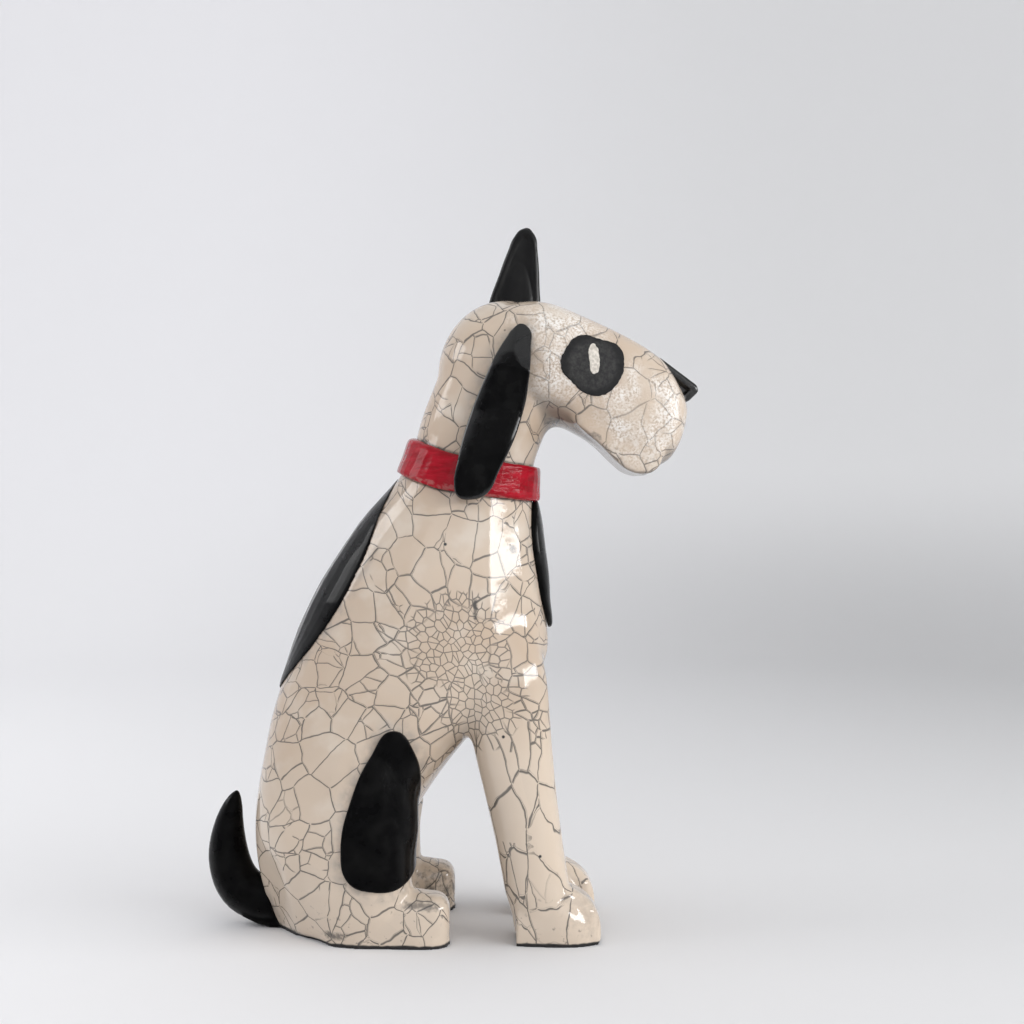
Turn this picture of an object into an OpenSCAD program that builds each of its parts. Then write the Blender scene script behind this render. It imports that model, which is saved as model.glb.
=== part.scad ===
// Seated dog figurine in crackle-glazed ceramic, hand built from luted clay pieces.
// The dog looks along +X, its right side faces -Y, and it sits on the plane Z = 0.
// All sizes are millimetres.

/* [Trunk heights] */
// Height of the fullest level of the rump
seat_h = 48; // [36:1:60]
// Rise from the seat level to the top of the arch under the belly
belly_rise = 47; // [38:1:60]
// Rise from the belly level to the fullest level of the chest
chest_rise = 35; // [28:1:45]
// Rise from the chest level to the shoulders
shoulder_rise = 35; // [26:1:46]
// Rise from the shoulders to the withers
withers_rise = 35; // [26:1:44]
// Rise from the withers to the seam under the collar
neck_rise = 27; // [22:1:34]

/* [Back line] */
// Distance of the rump's back edge behind the origin, on the floor
floor_back = 89.5; // [82:0.5:94]
// Distance of the rump behind the origin at the seat level
seat_back = 97.5; // [92:0.5:104]
// Distance of the back behind the origin at the belly level
belly_back = 92; // [86:0.5:97]
// Distance of the back behind the origin at the chest level
chest_back = 82; // [78:0.5:88]
// Distance of the back behind the origin at the shoulders
shoulder_back = 68; // [62:0.5:74]
// Distance of the back behind the origin at the withers
withers_back = 46; // [41:0.5:52]
// Distance of the nape behind the origin at the collar seam
neck_back = 24; // [20:0.5:28]

/* [Depth, front to back] */
// Depth of the rump where it meets the floor
floor_depth = 42; // [36:1:50]
// Depth of the body at the seat level
seat_depth = 73; // [64:1:80]
// Depth of the body at the belly level, back to the top of the arch
belly_depth = 100; // [92:1:108]
// Depth of the body at the chest level
chest_depth = 127.5; // [120:0.5:136]
// Depth of the body at the shoulders
shoulder_depth = 113; // [106:1:122]
// Depth of the body at the withers
withers_depth = 87; // [80:1:96]
// Depth of the neck at the collar seam
neck_depth = 64; // [58:1:70]

/* [Width, side to side] */
// Width of the rump where it meets the floor
floor_width = 56; // [48:1:66]
// Width of the body at the seat level
seat_width = 103; // [94:1:112]
// Width of the body at the belly level
belly_width = 97; // [90:1:104]
// Width of the body at the chest level
chest_width = 90; // [84:1:98]
// Width of the body at the shoulders
shoulder_width = 82; // [76:1:90]
// Width of the body at the withers
withers_width = 71; // [66:1:78]
// Width of the neck at the collar seam
neck_width = 63; // [58:1:68]

/* [Head] */
// Rise from the collar seam to the nape
nape_rise = 28; // [24:1:32]
// Rise from the nape to the brow, where the crown starts to round over
brow_rise = 18; // [15:1:22]
// Rise from the brow to the top of the crown
crown_rise = 38.5; // [33:0.5:44]
// Distance of the back of the head behind the origin at the nape
nape_back = 15; // [11:0.5:19]
// Distance of the back of the head behind the origin at the brow
brow_back = 7.5; // [4:0.5:11]
// Depth of the head at the nape, back to the throat
nape_depth = 65; // [60:1:70]
// Depth of the skull at the brow
brow_depth = 61; // [55:1:67]
// Width of the head at the nape
nape_width = 62; // [58:1:68]
// Width of the skull at the brow
brow_width = 66; // [62:1:72]
// How far the top of the crown lies forward of the skull's middle
crown_forward = 3.5; // [0:0.5:6]

/* [Muzzle] */
// Length of the muzzle in front of the skull, to the lips
muzzle_length = 63; // [56:1:70]
// Height of the muzzle below the eyes
muzzle_height = 66; // [60:0.5:72]
// Width of the muzzle at the eyes
eye_width = 62; // [58:1:66]
// Width of the muzzle at the chin
chin_width = 57; // [52:1:62]
// Fall of the bridge from the crown to the chin
muzzle_fall = 22; // [18:0.5:27]
// Length of the nose pad along its seat
nose_length = 24; // [22:0.5:28]
// Width of the nose pad
nose_width = 27; // [22:0.5:32]
// Height of the nose pad above its seat
nose_height = 7.5; // [6:0.5:9]
// Radius of the nostril hollows
nostril_r = 3.2; // [2.4:0.1:3.8]

/* [Eyes] */
// Diameter of the dark eye patch
eye_d = 28.5; // [24:0.5:34]
// Length of the pale glint in the eye
glint_length = 13; // [9:0.5:16]
// Width of the pale glint
glint_width = 4.8; // [3:0.2:6]
// Thickness of the eye patch on the side of the head
eye_t = 0.8; // [0.6:0.1:1.6]
// Distance of the eye in front of the skull's front face
eye_forward = 15; // [11:0.5:19]
// Distance of the eye below the crown
eye_drop = 34; // [31:0.5:37]

/* [Ears] */
// Length of the hanging ear
hang_length = 83; // [72:1:88]
// Greatest width of the hanging ear
hang_width = 24.5; // [20:0.5:29]
// Thickness of the hanging ear
hang_t = 11; // [9:0.5:14]
// Height of the upright ear above its root
upright_h = 53; // [42:1:62]
// Width of the upright ear at its root
upright_width = 32; // [26:0.5:36]
// Thickness of the upright ear at its root
upright_t = 15; // [12:0.5:18]

/* [Collar] */
// Height of the collar band
collar_h = 17; // [13:0.5:20]
// Thickness of the collar band
collar_t = 3.8; // [2.4:0.1:5]
// Angle by which the front of the collar hangs lower than the back
collar_tilt = 12.5; // [8:0.5:16]
// Sag of the collar at both sides of the neck
collar_sag = 3; // [0:0.25:5]

/* [Forelegs] */
// Distance of each foreleg's centre from the middle, at the floor
foreleg_out = 29; // [27:0.5:33]
// Depth of the foreleg at the chest level
foreleg_top_depth = 46; // [42:1:50]
// Depth of the foreleg at the floor
foreleg_depth = 29; // [25:0.5:33]
// Width of the foreleg at the chest level
foreleg_top_width = 33; // [30:0.5:36]
// Width of the foreleg at the floor
foreleg_width = 29; // [26:0.5:32]
// How far the foot stands forward of the leg's top
foreleg_lean = 23; // [18:0.5:28]
// Length of the forepaw
forepaw_length = 40.5; // [37:0.5:47]
// Height of the forepaw at the instep
forepaw_h = 25; // [22:0.5:29]
// Width of the forepaw
forepaw_width = 31; // [28:0.5:34]

/* [Hind legs] */
// Depth of the thigh, front to back
thigh_depth = 54; // [48:1:60]
// Width of the thigh, side to side
thigh_width = 42; // [37:0.5:46]
// Height of the thigh
thigh_h = 113; // [104:1:120]
// Distance of the thigh's centre in front of the rump's centre
thigh_forward = 16; // [12:0.5:20]
// How far the thigh stands out beyond the rump's side
thigh_bulge = 4.5; // [2:0.5:6.5]
// How far the thigh is tucked in under the body at the floor
thigh_tuck = 8; // [4:0.5:11]
// How far the toes reach in front of the knee
hindpaw_reach = 18; // [13:0.5:23]
// Height of the hind paw
hindpaw_h = 26; // [22:0.5:30]
// Width of the hind paw
hindpaw_width = 27; // [24:0.5:31]

/* [Tail] */
// Thickness of the tail at its root
tail_d = 22.5; // [18:0.5:24]
// Height of the tip of the tail above the floor
tail_h = 67; // [56:1:78]
// How far the tail curls out behind the rump
tail_reach = 26; // [20:0.5:32]

/* [Dark pads] */
// Thickness of the pad over the back
saddle_t = 1.6; // [1:0.1:3]
// Height of the pad over the back
saddle_h = 105; // [90:1:115]
// Width of the pad over the back
saddle_width = 64; // [54:1:72]
// Thickness of the pad on the chest
bib_t = 4; // [2.5:0.1:5]
// Height of the pad on the chest
bib_h = 66; // [54:1:74]
// Width of the pad on the chest
bib_width = 30; // [24:0.5:36]
// Thickness of the pad on the right thigh
thigh_pad_t = 2.4; // [1.6:0.1:3.4]
// Height of the pad on the right thigh
thigh_pad_h = 75; // [66:1:82]
// Width of the pad on the right thigh
thigh_pad_width = 35; // [30:0.5:39]

/* [Clay] */
// Wall thickness of the hollow body and head
wall = 7; // [5:0.5:9]
// Diameter of the vent hole in the underside
vent_d = 9; // [6:0.5:12]

/* [Hidden] */

glaze_colour = "AntiqueWhite";
bare_colour = "#1c1b1b";
collar_colour = "#b1182a";

// Fineness of the skins: points round a section, and steps along it
body_sides = 36;
limb_sides = 24;
fine_sides = 32;
ring_step = 8;
cavity_step = 16;

// A little more than nothing, for cuts that run past a face
past = 1;
// Depth by which a limb's skin runs below the floor before it is cut flat
below_floor = 9;
// Squareness of a section: 2 is an ellipse, and more is boxier
trunk_square = 2.3;
muzzle_square = 3;
limb_square = 2.3;
paw_square = 2.6;
nose_square = 2.4;

// Levels of the trunk and head, from the floor up
belly_h = seat_h + belly_rise;
chest_h = belly_h + chest_rise;
shoulder_h = chest_h + shoulder_rise;
withers_h = shoulder_h + withers_rise;
neck_h = withers_h + neck_rise;
nape_h = neck_h + nape_rise;
brow_h = nape_h + brow_rise;
crown_h = brow_h + crown_rise;

level_h = [0, seat_h, belly_h, chest_h, shoulder_h, withers_h, neck_h, nape_h, brow_h];
level_back = -[floor_back, seat_back, belly_back, chest_back, shoulder_back, withers_back,
               neck_back, nape_back, brow_back];
level_depth = [floor_depth, seat_depth, belly_depth, chest_depth, shoulder_depth, withers_depth,
               neck_depth, nape_depth, brow_depth];
level_width = [floor_width, seat_width, belly_width, chest_width, shoulder_width, withers_width,
               neck_width, nape_width, brow_width];

// Smooth curves through hand-set keys

// Slope of a curve at key i, from the keys on either side
function key_slope(at, value, i) =
    let (a = max(i - 1, 0), b = min(i + 1, len(at) - 1))
    (value[b] - value[a]) / (at[b] - at[a]);

// The last key at or below x
function key_before(at, x, i = 0) =
    (i >= len(at) - 2 || x < at[i + 1]) ? i : key_before(at, x, i + 1);

// Value at x of the smooth curve through the keys
function curve(at, value, x) =
    let (i = key_before(at, x), h = at[i + 1] - at[i], t = (x - at[i]) / h)
    value[i] * (1 + 2 * t) * (1 - t) * (1 - t)
    + key_slope(at, value, i) * h * t * (1 - t) * (1 - t)
    + value[i + 1] * t * t * (3 - 2 * t)
    + key_slope(at, value, i + 1) * h * t * t * (t - 1);

// Share of a section's size that is left at s, from 0 to 1, along a rounded end
function dome(s, power = 2) = pow(max(0, 1 - pow(s, power)), 1 / power);

// Point at t, from 0 to 1, on a Bezier curve of four points
function bezier(p, t) =
    p[0] * pow(1 - t, 3) + 3 * p[1] * t * pow(1 - t, 2) + 3 * p[2] * t * t * (1 - t) + p[3] * pow(t, 3);

// A cosine or sine drawn out towards the corners of a rounded box
function signed_power(x, p) = sign(x) * pow(abs(x), p);

// One rounded section: half sizes a along u and b along v
function section(centre, u, v, a, b, square, sides) =
    [for (i = [0:sides - 1])
        let (angle = 360 * i / sides)
        centre + u * a * signed_power(cos(angle), 2 / square)
               + v * b * signed_power(sin(angle), 2 / square)];

// Closed skin over sections that follow one another along u x v
module skin(rings) {
    sides = len(rings[0]);
    last = len(rings) - 1;
    points = [for (ring = rings) each ring];
    walls = [for (i = [0:last - 1], j = [0:sides - 1])
        let (a = i * sides + j, b = i * sides + (j + 1) % sides)
        each [[a, a + sides, b + sides], [a, b + sides, b]]];
    foot = [for (j = [0:sides - 1]) j];
    cap = [for (j = [sides - 1:-1:0]) last * sides + j];
    polyhedron(points, concat(walls, [foot, cap]), convexity = 8);
}

// Keeps a cut or joined form as one skin of flat facets, at its own size
module one_skin() { resize([0, 0, 0]) children(); }

module mirrored_y(left) { mirror([0, left ? 1 : 0, 0]) children(); }

// Trunk, neck and skull are one column of sections from the floor to the crown

crown_x = brow_depth / 2 - brow_back + crown_forward;
function crown_share(z, grow) = dome((z - brow_h) / (crown_h + grow - brow_h));
function toward_crown(x, share) = crown_x + (x - crown_x) * share;
function level_x_back(z) = curve(level_h, level_back, min(z, brow_h));
function level_x_front(z) = curve(level_h, level_back + level_depth, min(z, brow_h));
function level_half(z) = curve(level_h, level_width, min(z, brow_h)) / 2;

function column_back(z, grow = 0) =
    z <= brow_h ? level_x_back(z) - grow : toward_crown(-brow_back - grow, crown_share(z, grow));
function column_front(z, grow = 0) =
    z <= brow_h ? level_x_front(z) + grow
                : toward_crown(brow_depth - brow_back + grow, crown_share(z, grow));
function column_half(z, grow = 0) =
    (level_half(z) + grow) * (z <= brow_h ? 1 : crown_share(z, grow));

function column_ring(z, grow, sides) =
    let (back = column_back(z, grow), front = column_front(z, grow))
    section([(back + front) / 2, 0, z], [1, 0, 0], [0, 1, 0],
            (front - back) / 2, column_half(z, grow), trunk_square, sides);

// Distance of the column's side from the middle, at a place along X and a height
function column_side(x, z) =
    let (back = column_back(z), front = column_front(z),
         u = min(1, abs(x - (back + front) / 2) / ((front - back) / 2)))
    column_half(z) * pow(1 - pow(u, trunk_square), 1 / trunk_square);

// The column between two heights, grown or shrunk all round
module column(low, high, grow = 0, sides = body_sides, step = ring_step) {
    steps = ceil((high - low) / step);
    skin([for (i = [0:steps]) column_ring(low + (high - low) * i / steps, grow, sides)]);
}

// The column from a height up over the crown
crown_rings = 9;
// The last crown ring stops short of a point
crown_end = 86;
module column_to_crown(low, grow = 0, sides = body_sides, step = ring_step) {
    steps = ceil((brow_h - low) / step);
    straight = [for (i = [0:steps]) low + (brow_h - low) * i / steps];
    round_over = [for (i = [1:crown_rings])
        brow_h + (crown_rise + grow) * sin(crown_end * i / crown_rings)];
    skin([for (z = concat(straight, round_over)) column_ring(z, grow, sides)]);
}

// The seam between torso and head lies in the middle of the collar

seam_x = neck_depth / 2 - neck_back;
// Reach of the half space on either side of the seam
seam_reach = 400;
// How far past the tilted seam a skin runs before it is cut there
seam_run = 26;
module above_seam() {
    translate([seam_x, 0, neck_h])
        rotate([0, collar_tilt, 0])
            translate([-seam_reach / 2, -seam_reach / 2, 0]) cube(seam_reach);
}
module below_seam() {
    translate([seam_x, 0, neck_h])
        rotate([0, collar_tilt, 0])
            translate([-seam_reach / 2, -seam_reach / 2, -seam_reach]) cube(seam_reach);
}

// Muzzle: sections along X from inside the skull to the lips, then a rounded tip

skull_front = brow_depth - brow_back;
// Shares of the muzzle's length at which the chin and the lips lie
chin_share = 0.62;
lip_share = 0.79;
// Distance of the muzzle's first section, and of the stop, behind the skull's front
root_inset = 35;
stop_inset = 10;
eye_x = skull_front + eye_forward;
lip_x = skull_front + muzzle_length * lip_share;
tip_x = skull_front + muzzle_length;

// Sections at the root, the stop, the eye, the chin and the lips
muzzle_at = [skull_front - root_inset, skull_front - stop_inset, eye_x,
             skull_front + muzzle_length * chin_share, lip_x];
muzzle_root = muzzle_at[0];
bridge_z = [for (fall = [0.18, 0.05, 0.46, 1, 1.34]) crown_h - muzzle_fall * fall];
muzzle_tall = muzzle_height * [0.72, 0.87, 0.92, 1, 0.795];
muzzle_wide = [brow_width * 0.82, brow_width * 0.98, eye_width, chin_width, chin_width * 0.92];
// Height of the foremost point of the muzzle
tip_z = crown_h - muzzle_fall * 2.43;

// The tip is nearly straight at the nose, round at the chin, and blunt from side to side
nose_round = 1.15;
chin_round = 1.7;
side_round = 2.4;
function tip_share(x, grow, power) = dome((x - lip_x) / (tip_x + grow - lip_x), power);
function muzzle_top(x, grow = 0) =
    x <= lip_x ? curve(muzzle_at, bridge_z, x) + grow
               : tip_z + (bridge_z[4] - tip_z + grow) * tip_share(x, grow, nose_round);
function muzzle_bottom(x, grow = 0) =
    x <= lip_x ? curve(muzzle_at, bridge_z - muzzle_tall, x) - grow
               : tip_z - (tip_z - bridge_z[4] + muzzle_tall[4] + grow) * tip_share(x, grow, chin_round);
function muzzle_half(x, grow = 0) =
    x <= lip_x ? curve(muzzle_at, muzzle_wide, x) / 2 + grow
               : (muzzle_wide[4] / 2 + grow) * tip_share(x, grow, side_round);

function muzzle_ring(x, grow, sides) =
    let (low = muzzle_bottom(x, grow), high = muzzle_top(x, grow))
    section([x, 0, (low + high) / 2], [0, 1, 0], [0, 0, 1],
            muzzle_half(x, grow), (high - low) / 2, muzzle_square, sides);

// Distance of the muzzle's side from the middle, at a place along X and a height
function muzzle_side(x, z) =
    let (low = muzzle_bottom(x), high = muzzle_top(x),
         v = min(1, abs(z - (low + high) / 2) / ((high - low) / 2)))
    muzzle_half(x) * pow(1 - pow(v, muzzle_square), 1 / muzzle_square);

tip_rings = 8;
module muzzle(grow = 0, sides = body_sides, step = ring_step) {
    steps = ceil((lip_x - muzzle_root) / step);
    straight = [for (i = [0:steps]) muzzle_root + (lip_x - muzzle_root) * i / steps];
    round_over = [for (i = [1:tip_rings])
        lip_x + (tip_x + grow - lip_x) * sin(crown_end * i / tip_rings)];
    skin([for (x = concat(straight, round_over)) muzzle_ring(x, grow, sides)]);
}

module head_form(grow = 0, low = neck_h - seam_run, sides = body_sides, step = ring_step) {
    column_to_crown(low, grow, sides, step);
    muzzle(grow, sides, step);
}

// Forelegs: straight tapered columns from the chest to the floor, each with a paw

chest_front = chest_depth - chest_back;
// The leg's front stands this far proud of the chest
foreleg_proud = 0.5;
foreleg_top_x = chest_front - foreleg_top_depth / 2 + foreleg_proud;
// The leg's top lies this far inside the chest's width
foreleg_inset = 4.5;
foreleg_top_y = chest_width / 2 - foreleg_top_width / 2 - foreleg_inset;
// The leg's end runs this far above the chest level, inside the trunk
foreleg_root = 24;
// How late the leg widens on its way up: 1 is a straight taper
foreleg_flare = 2.3;
foreleg_heel = foreleg_top_x + foreleg_lean - foreleg_depth / 2;
foreleg_steps = 10;
root_rings = 4;

function foreleg_ring(z, share) =
    let (t = z / chest_h,
         depth = foreleg_depth + (foreleg_top_depth - foreleg_depth) * pow(max(t, 0), foreleg_flare),
         width = foreleg_width + (foreleg_top_width - foreleg_width) * t)
    section([foreleg_top_x + foreleg_lean * (1 - t), foreleg_out + (foreleg_top_y - foreleg_out) * t, z],
            [1, 0, 0], [0, 1, 0], depth / 2 * share, width / 2 * share, limb_square, limb_sides);

module foreleg_column() {
    straight = [for (i = [0:foreleg_steps])
        foreleg_ring(-below_floor + (chest_h + below_floor) * i / foreleg_steps, 1)];
    root = [for (i = [1:root_rings])
        let (s = sin(crown_end * i / root_rings))
        foreleg_ring(chest_h + foreleg_root * s, dome(s))];
    skin(concat(straight, root));
}

// A paw along X: heel, instep, and a toe that slopes down. Its sole is cut flat on the floor.
heel_share = 0.85;
heel_steps = 4;
toe_rings = 6;
// Roundness of the toes seen from above, and of each paw's slope seen from the side
toe_round = 2.6;
forepaw_slope = 1.6;
hindpaw_slope = 2.2;
module paw(heel, toe, instep, height, y, width, slope) {
    function ring(x, h, w) =
        section([x, y, (h - below_floor) / 2], [0, 1, 0], [0, 0, 1],
                w / 2, (h + below_floor) / 2, paw_square, limb_sides);
    straight = [for (i = [0:heel_steps])
        let (t = i / heel_steps, share = heel_share + (1 - heel_share) * t)
        ring(heel + (instep - heel) * t, height * share, width * share)];
    round_over = [for (i = [1:toe_rings])
        let (s = sin(crown_end * i / toe_rings))
        ring(instep + (toe - instep) * s, height * dome(s, slope), width * dome(s, toe_round))];
    skin(concat(straight, round_over));
}

module above_floor() {
    translate([-seam_reach / 2, -seam_reach / 2, 0]) cube(seam_reach);
}

// Share of the forepaw's length at which it starts to slope down
instep_share = 0.47;
module foreleg_form() {
    intersection() {
        union() {
            foreleg_column();
            paw(foreleg_heel, foreleg_heel + forepaw_length, foreleg_heel + forepaw_length * instep_share,
                forepaw_h, foreleg_out, forepaw_width, forepaw_slope);
        }
        above_floor();
    }
}

// Hind legs: an egg-shaped thigh against the rump, and a long flat paw

thigh_x = seat_depth / 2 - seat_back + thigh_forward;
thigh_y = seat_width / 2 + thigh_bulge - thigh_width / 2;
knee_front = thigh_x + thigh_depth / 2;
thigh_steps = 16;
// Share of the thigh's height at which it is fullest
thigh_full = 0.45;

// Share by which the thigh is slimmer at the floor
thigh_slim = 0.16;
// How far the thigh comes forward at the floor, as a share of its tuck
thigh_step = 0.6;
// How far its top lies forward and inward, as shares of its depth and width
thigh_top_forward = 0.12;
thigh_top_in = 0.1;
thigh_dome = 2.1;

// From 0 at the fullest level to 1 at the floor
function thigh_low(z) =
    let (full = thigh_h * thigh_full)
    z < full ? pow((full - max(z, 0)) / full, 2) : 0;
// From 1 at the fullest level to 0 at the top
function thigh_round(z) =
    let (full = thigh_h * thigh_full)
    z < full ? 1 : dome(min(1, (z - full) / (thigh_h - full)), thigh_dome);
function thigh_share(z) = thigh_round(z) * (1 - thigh_slim * thigh_low(z));

function thigh_ring(z, grow) =
    let (share = thigh_share(z), top = 1 - thigh_round(z))
    section([thigh_x + thigh_tuck * thigh_step * thigh_low(z) + thigh_depth * thigh_top_forward * top,
             thigh_y - thigh_tuck * thigh_low(z) - thigh_width * thigh_top_in * top, z],
            [1, 0, 0], [0, 1, 0],
            thigh_depth / 2 * share + grow, thigh_width / 2 * share + grow, limb_square, limb_sides);

module thigh(grow = 0) {
    skin([for (i = [0:thigh_steps])
        thigh_ring(-below_floor + (thigh_h + below_floor) * sin(crown_end * i / thigh_steps), grow)]);
}

// Length of the hind paw's rounded toe
toe_length = 15.5;
module hind_leg_form() {
    intersection() {
        union() {
            thigh();
            paw(thigh_x, knee_front + hindpaw_reach, knee_front + hindpaw_reach - toe_length,
                hindpaw_h, thigh_y, hindpaw_width, hindpaw_slope);
        }
        above_floor();
    }
}

// The trunk's outside, from the floor to past the collar seam
module trunk_form() { column(0, neck_h + seam_run); }

// Hollow of the torso, open at the neck
module torso_hollow() {
    column(wall, neck_h + seam_run + past, -wall, limb_sides, cavity_step);
}

// Hollow of the head, open at the neck
module head_hollow() {
    head_form(-wall, neck_h - seam_run - past, limb_sides, cavity_step);
}

vent_x = floor_depth / 2 - floor_back;

module torso() {
    color(glaze_colour)
        one_skin() difference() {
            intersection() { trunk_form(); below_seam(); }
            torso_hollow();
            translate([vent_x, 0, -past]) cylinder(d = vent_d, h = wall + past * 2, $fn = 32);
        }
}

module head() {
    color(glaze_colour)
        one_skin() difference() {
            intersection() { head_form(); above_seam(); }
            head_hollow();
        }
}

module foreleg(left) {
    color(glaze_colour)
        one_skin() mirrored_y(!left) difference() { foreleg_form(); trunk_form(); }
}

module hind_leg(left) {
    color(glaze_colour)
        one_skin() mirrored_y(!left) difference() { hind_leg_form(); trunk_form(); }
}

// Collar: a flat strip round the neck, lower in front, sagging a little at both sides

collar_steps = 40;
// Share of the strip's thickness that its rounded corners take
collar_round = 0.45;
// Distance of a corner's middle point from the square corner, as a share of its radius
corner_share = 0.3;
collar_profile = let (t = collar_t, h = collar_h / 2, r = collar_t * collar_round, c = r * corner_share)
    [[-past, -h], [t - r, -h], [t - c, -h + c], [t, -h + r],
     [t, h - r], [t - c, h - c], [t - r, h], [-past, h]];

function collar_point(angle, out, up) =
    let (x = seam_x + neck_depth / 2 * cos(angle),
         z = neck_h - (x - seam_x) * tan(collar_tilt) - collar_sag * pow(sin(angle), 2) + up,
         back = column_back(z, out), front = column_front(z, out))
    [(back + front) / 2 + (front - back) / 2 * signed_power(cos(angle), 2 / trunk_square),
     column_half(z, out) * signed_power(sin(angle), 2 / trunk_square), z];

module collar_strip() {
    profile = len(collar_profile);
    rings = [for (i = [0:collar_steps - 1])
        [for (p = collar_profile) collar_point(360 * i / collar_steps, p[0], p[1])]];
    points = [for (ring = rings) each ring];
    walls = [for (i = [0:collar_steps - 1], j = [0:profile - 1])
        let (a = i * profile + j, b = i * profile + (j + 1) % profile,
             c = (i + 1) % collar_steps * profile)
        each [[a, c + (j + 1) % profile, c + j], [a, b, c + (j + 1) % profile]]];
    polyhedron(points, walls, convexity = 8);
}

module collar() {
    color(collar_colour)
        one_skin() difference() {
            collar_strip();
            column(neck_h - seam_run, neck_h + seam_run);
        }
}

// Nose: a wedge-shaped pad on the slope above the lips, thicker towards its lower end

nose_slope = 56;
nose_forward = 0.5;
module on_nose_seat() {
    translate([lip_x + nose_forward, 0, bridge_z[4]]) rotate([0, nose_slope, 0]) children();
}

nose_keys = [0, 0.2, 0.5, 0.78, 0.92, 1];
nose_wide = [0.42, 0.66, 0.92, 1, 0.86, 0.42];
nose_tall = [0.06, 0.28, 0.64, 0.97, 0.92, 0.42];
nose_steps = 14;
// Place of a nostril, as shares of the pad's length, width and height
nostril_place = [0.74, 0.47, 0.42];
nostril_pitch = 28;
nostril_turn = 18;
nostril_shape = [1.9, 0.8, 0.8];

module nose_form() {
    skin([for (i = [0:nose_steps])
        let (s = i / nose_steps,
             w = nose_width / 2 * curve(nose_keys, nose_wide, s),
             h = nose_height * curve(nose_keys, nose_tall, s))
        section([s * nose_length, 0, 0], [0, 1, 0], [0, 0, 1], w, h, nose_square, limb_sides)]);
}

module nostrils() {
    for (side = [-1, 1])
        translate([nose_length * nostril_place[0], side * nose_width * nostril_place[1],
                   nose_height * nostril_place[2]])
            rotate([0, -nostril_pitch, side * nostril_turn])
                scale(nostril_shape) sphere(nostril_r, $fn = 20);
}

module nose() {
    color(bare_colour)
        one_skin() difference() {
            on_nose_seat() difference() { nose_form(); nostrils(); }
            head_form();
        }
}

// Ears. The right one hangs over the collar, and the left one stands up.

// Place of the ear's root in front of the crown's middle and below the crown
hang_forward = 7;
hang_drop = 15.5;
hang_top_x = crown_x + hang_forward;
hang_top_z = crown_h - hang_drop;
// How far forward the ear's root is of its tip
hang_lean = 24;
hang_steps = 18;
// Angle at which the first and last sections of an ear or pad stop short of a point
end_turn = 2;
// How the thickness falls off where an ear narrows
edge_round = 0.7;
// Share of the ear's length at which it is widest
hang_full = 0.66;
// How far the ear's middle lies off the head, as a share of its thickness
hang_off = 0.36;
// Share by which the ear is thinner at its root
hang_thin = 0.25;
// Curve of the ear's lean, and of its width above and below its widest place
hang_bend = 1.15;
hang_swell = [3, 0.6];
hang_tip = [5, 0.5];
// Shares of its length between which the ear rides up on the collar
collar_start = 0.5;
collar_full = 0.7;
// The ear follows the muzzle's side up to this far below the crown
hang_follow = 6;

function hang_share(s) =
    s < hang_full ? pow(1 - pow(1 - s / hang_full, hang_swell[0]), hang_swell[1])
                  : pow(1 - pow((s - hang_full) / (1 - hang_full), hang_tip[0]), hang_tip[1]);
function hang_x(s) = hang_top_x - hang_lean * pow(s, hang_bend);
function hang_side(s) =
    let (z = hang_top_z - hang_length * s,
         x = max(hang_x(s), muzzle_root),
         ride = min(1, max(0, (s - collar_start) / (collar_full - collar_start))))
    max(column_side(hang_x(s), z), muzzle_side(x, min(z, crown_h - hang_follow)) - past)
    + collar_t * ride;

module hanging_ear_form() {
    skin([for (i = [0:hang_steps])
        let (s = 1 - (1 - cos(end_turn + (180 - 2 * end_turn) * i / hang_steps)) / 2,
             share = hang_share(s),
             thick = hang_t / 2 * pow(share, edge_round) * (1 - hang_thin * pow(1 - s, 2)))
        section([hang_x(s), -hang_side(s) - hang_t * hang_off, hang_top_z - hang_length * s],
                [1, 0, 0], [0, 1, 0], hang_width / 2 * share, thick, limb_square, fine_sides)]);
}

module hanging_ear() {
    color(bare_colour)
        one_skin() difference() {
            hanging_ear_form();
            head_form();
            trunk_form();
            collar_strip();
        }
}

// Place of the ear's root in front of the crown's middle, off to the left and below the crown
upright_forward = 2.5;
upright_drop = 13;
upright_x = crown_x + upright_forward;
upright_y = brow_width * 0.34;
upright_root_z = crown_h - upright_drop;
// How far the tip lies forward and inward of the root
upright_lean = 8;
upright_in = 4;
upright_steps = 14;
// Share by which the ear narrows from root to tip
upright_taper = 0.68;
// Depth of the hollow in the ear's inner face, as a share of its half thickness
upright_cup = 0.75;
// The hollow is at its full depth above this share of the ear's height
cup_start = 0.25;
upright_tip = [12, 0.5];

function upright_share(s) =
    (1 - upright_taper * s) * pow(1 - pow(s, upright_tip[0]), upright_tip[1]);
function upright_ring(s) =
    let (share = upright_share(s),
         a = upright_width / 2 * share,
         b = upright_t / 2 * pow(share, edge_round))
    [for (i = [0:fine_sides - 1])
        let (angle = 360 * i / fine_sides, u = cos(angle), v = sin(angle),
             cup = v < 0 ? 1 - upright_cup * pow(v, 2) * min(1, s / cup_start) : 1)
        [upright_x + upright_lean * s + a * u,
         upright_y - upright_in * s + b * v * cup,
         upright_root_z + upright_h * s]];

module upright_ear() {
    color(bare_colour)
        one_skin() difference() {
            skin([for (i = [0:upright_steps]) upright_ring(sin((90 - end_turn / 2) * i / upright_steps))]);
            head_form();
        }
}

// Tail: a horn that leaves the rump low down and curls up

// Gap between the floor and the underside of the tail's root
tail_gap = 1.5;
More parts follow.
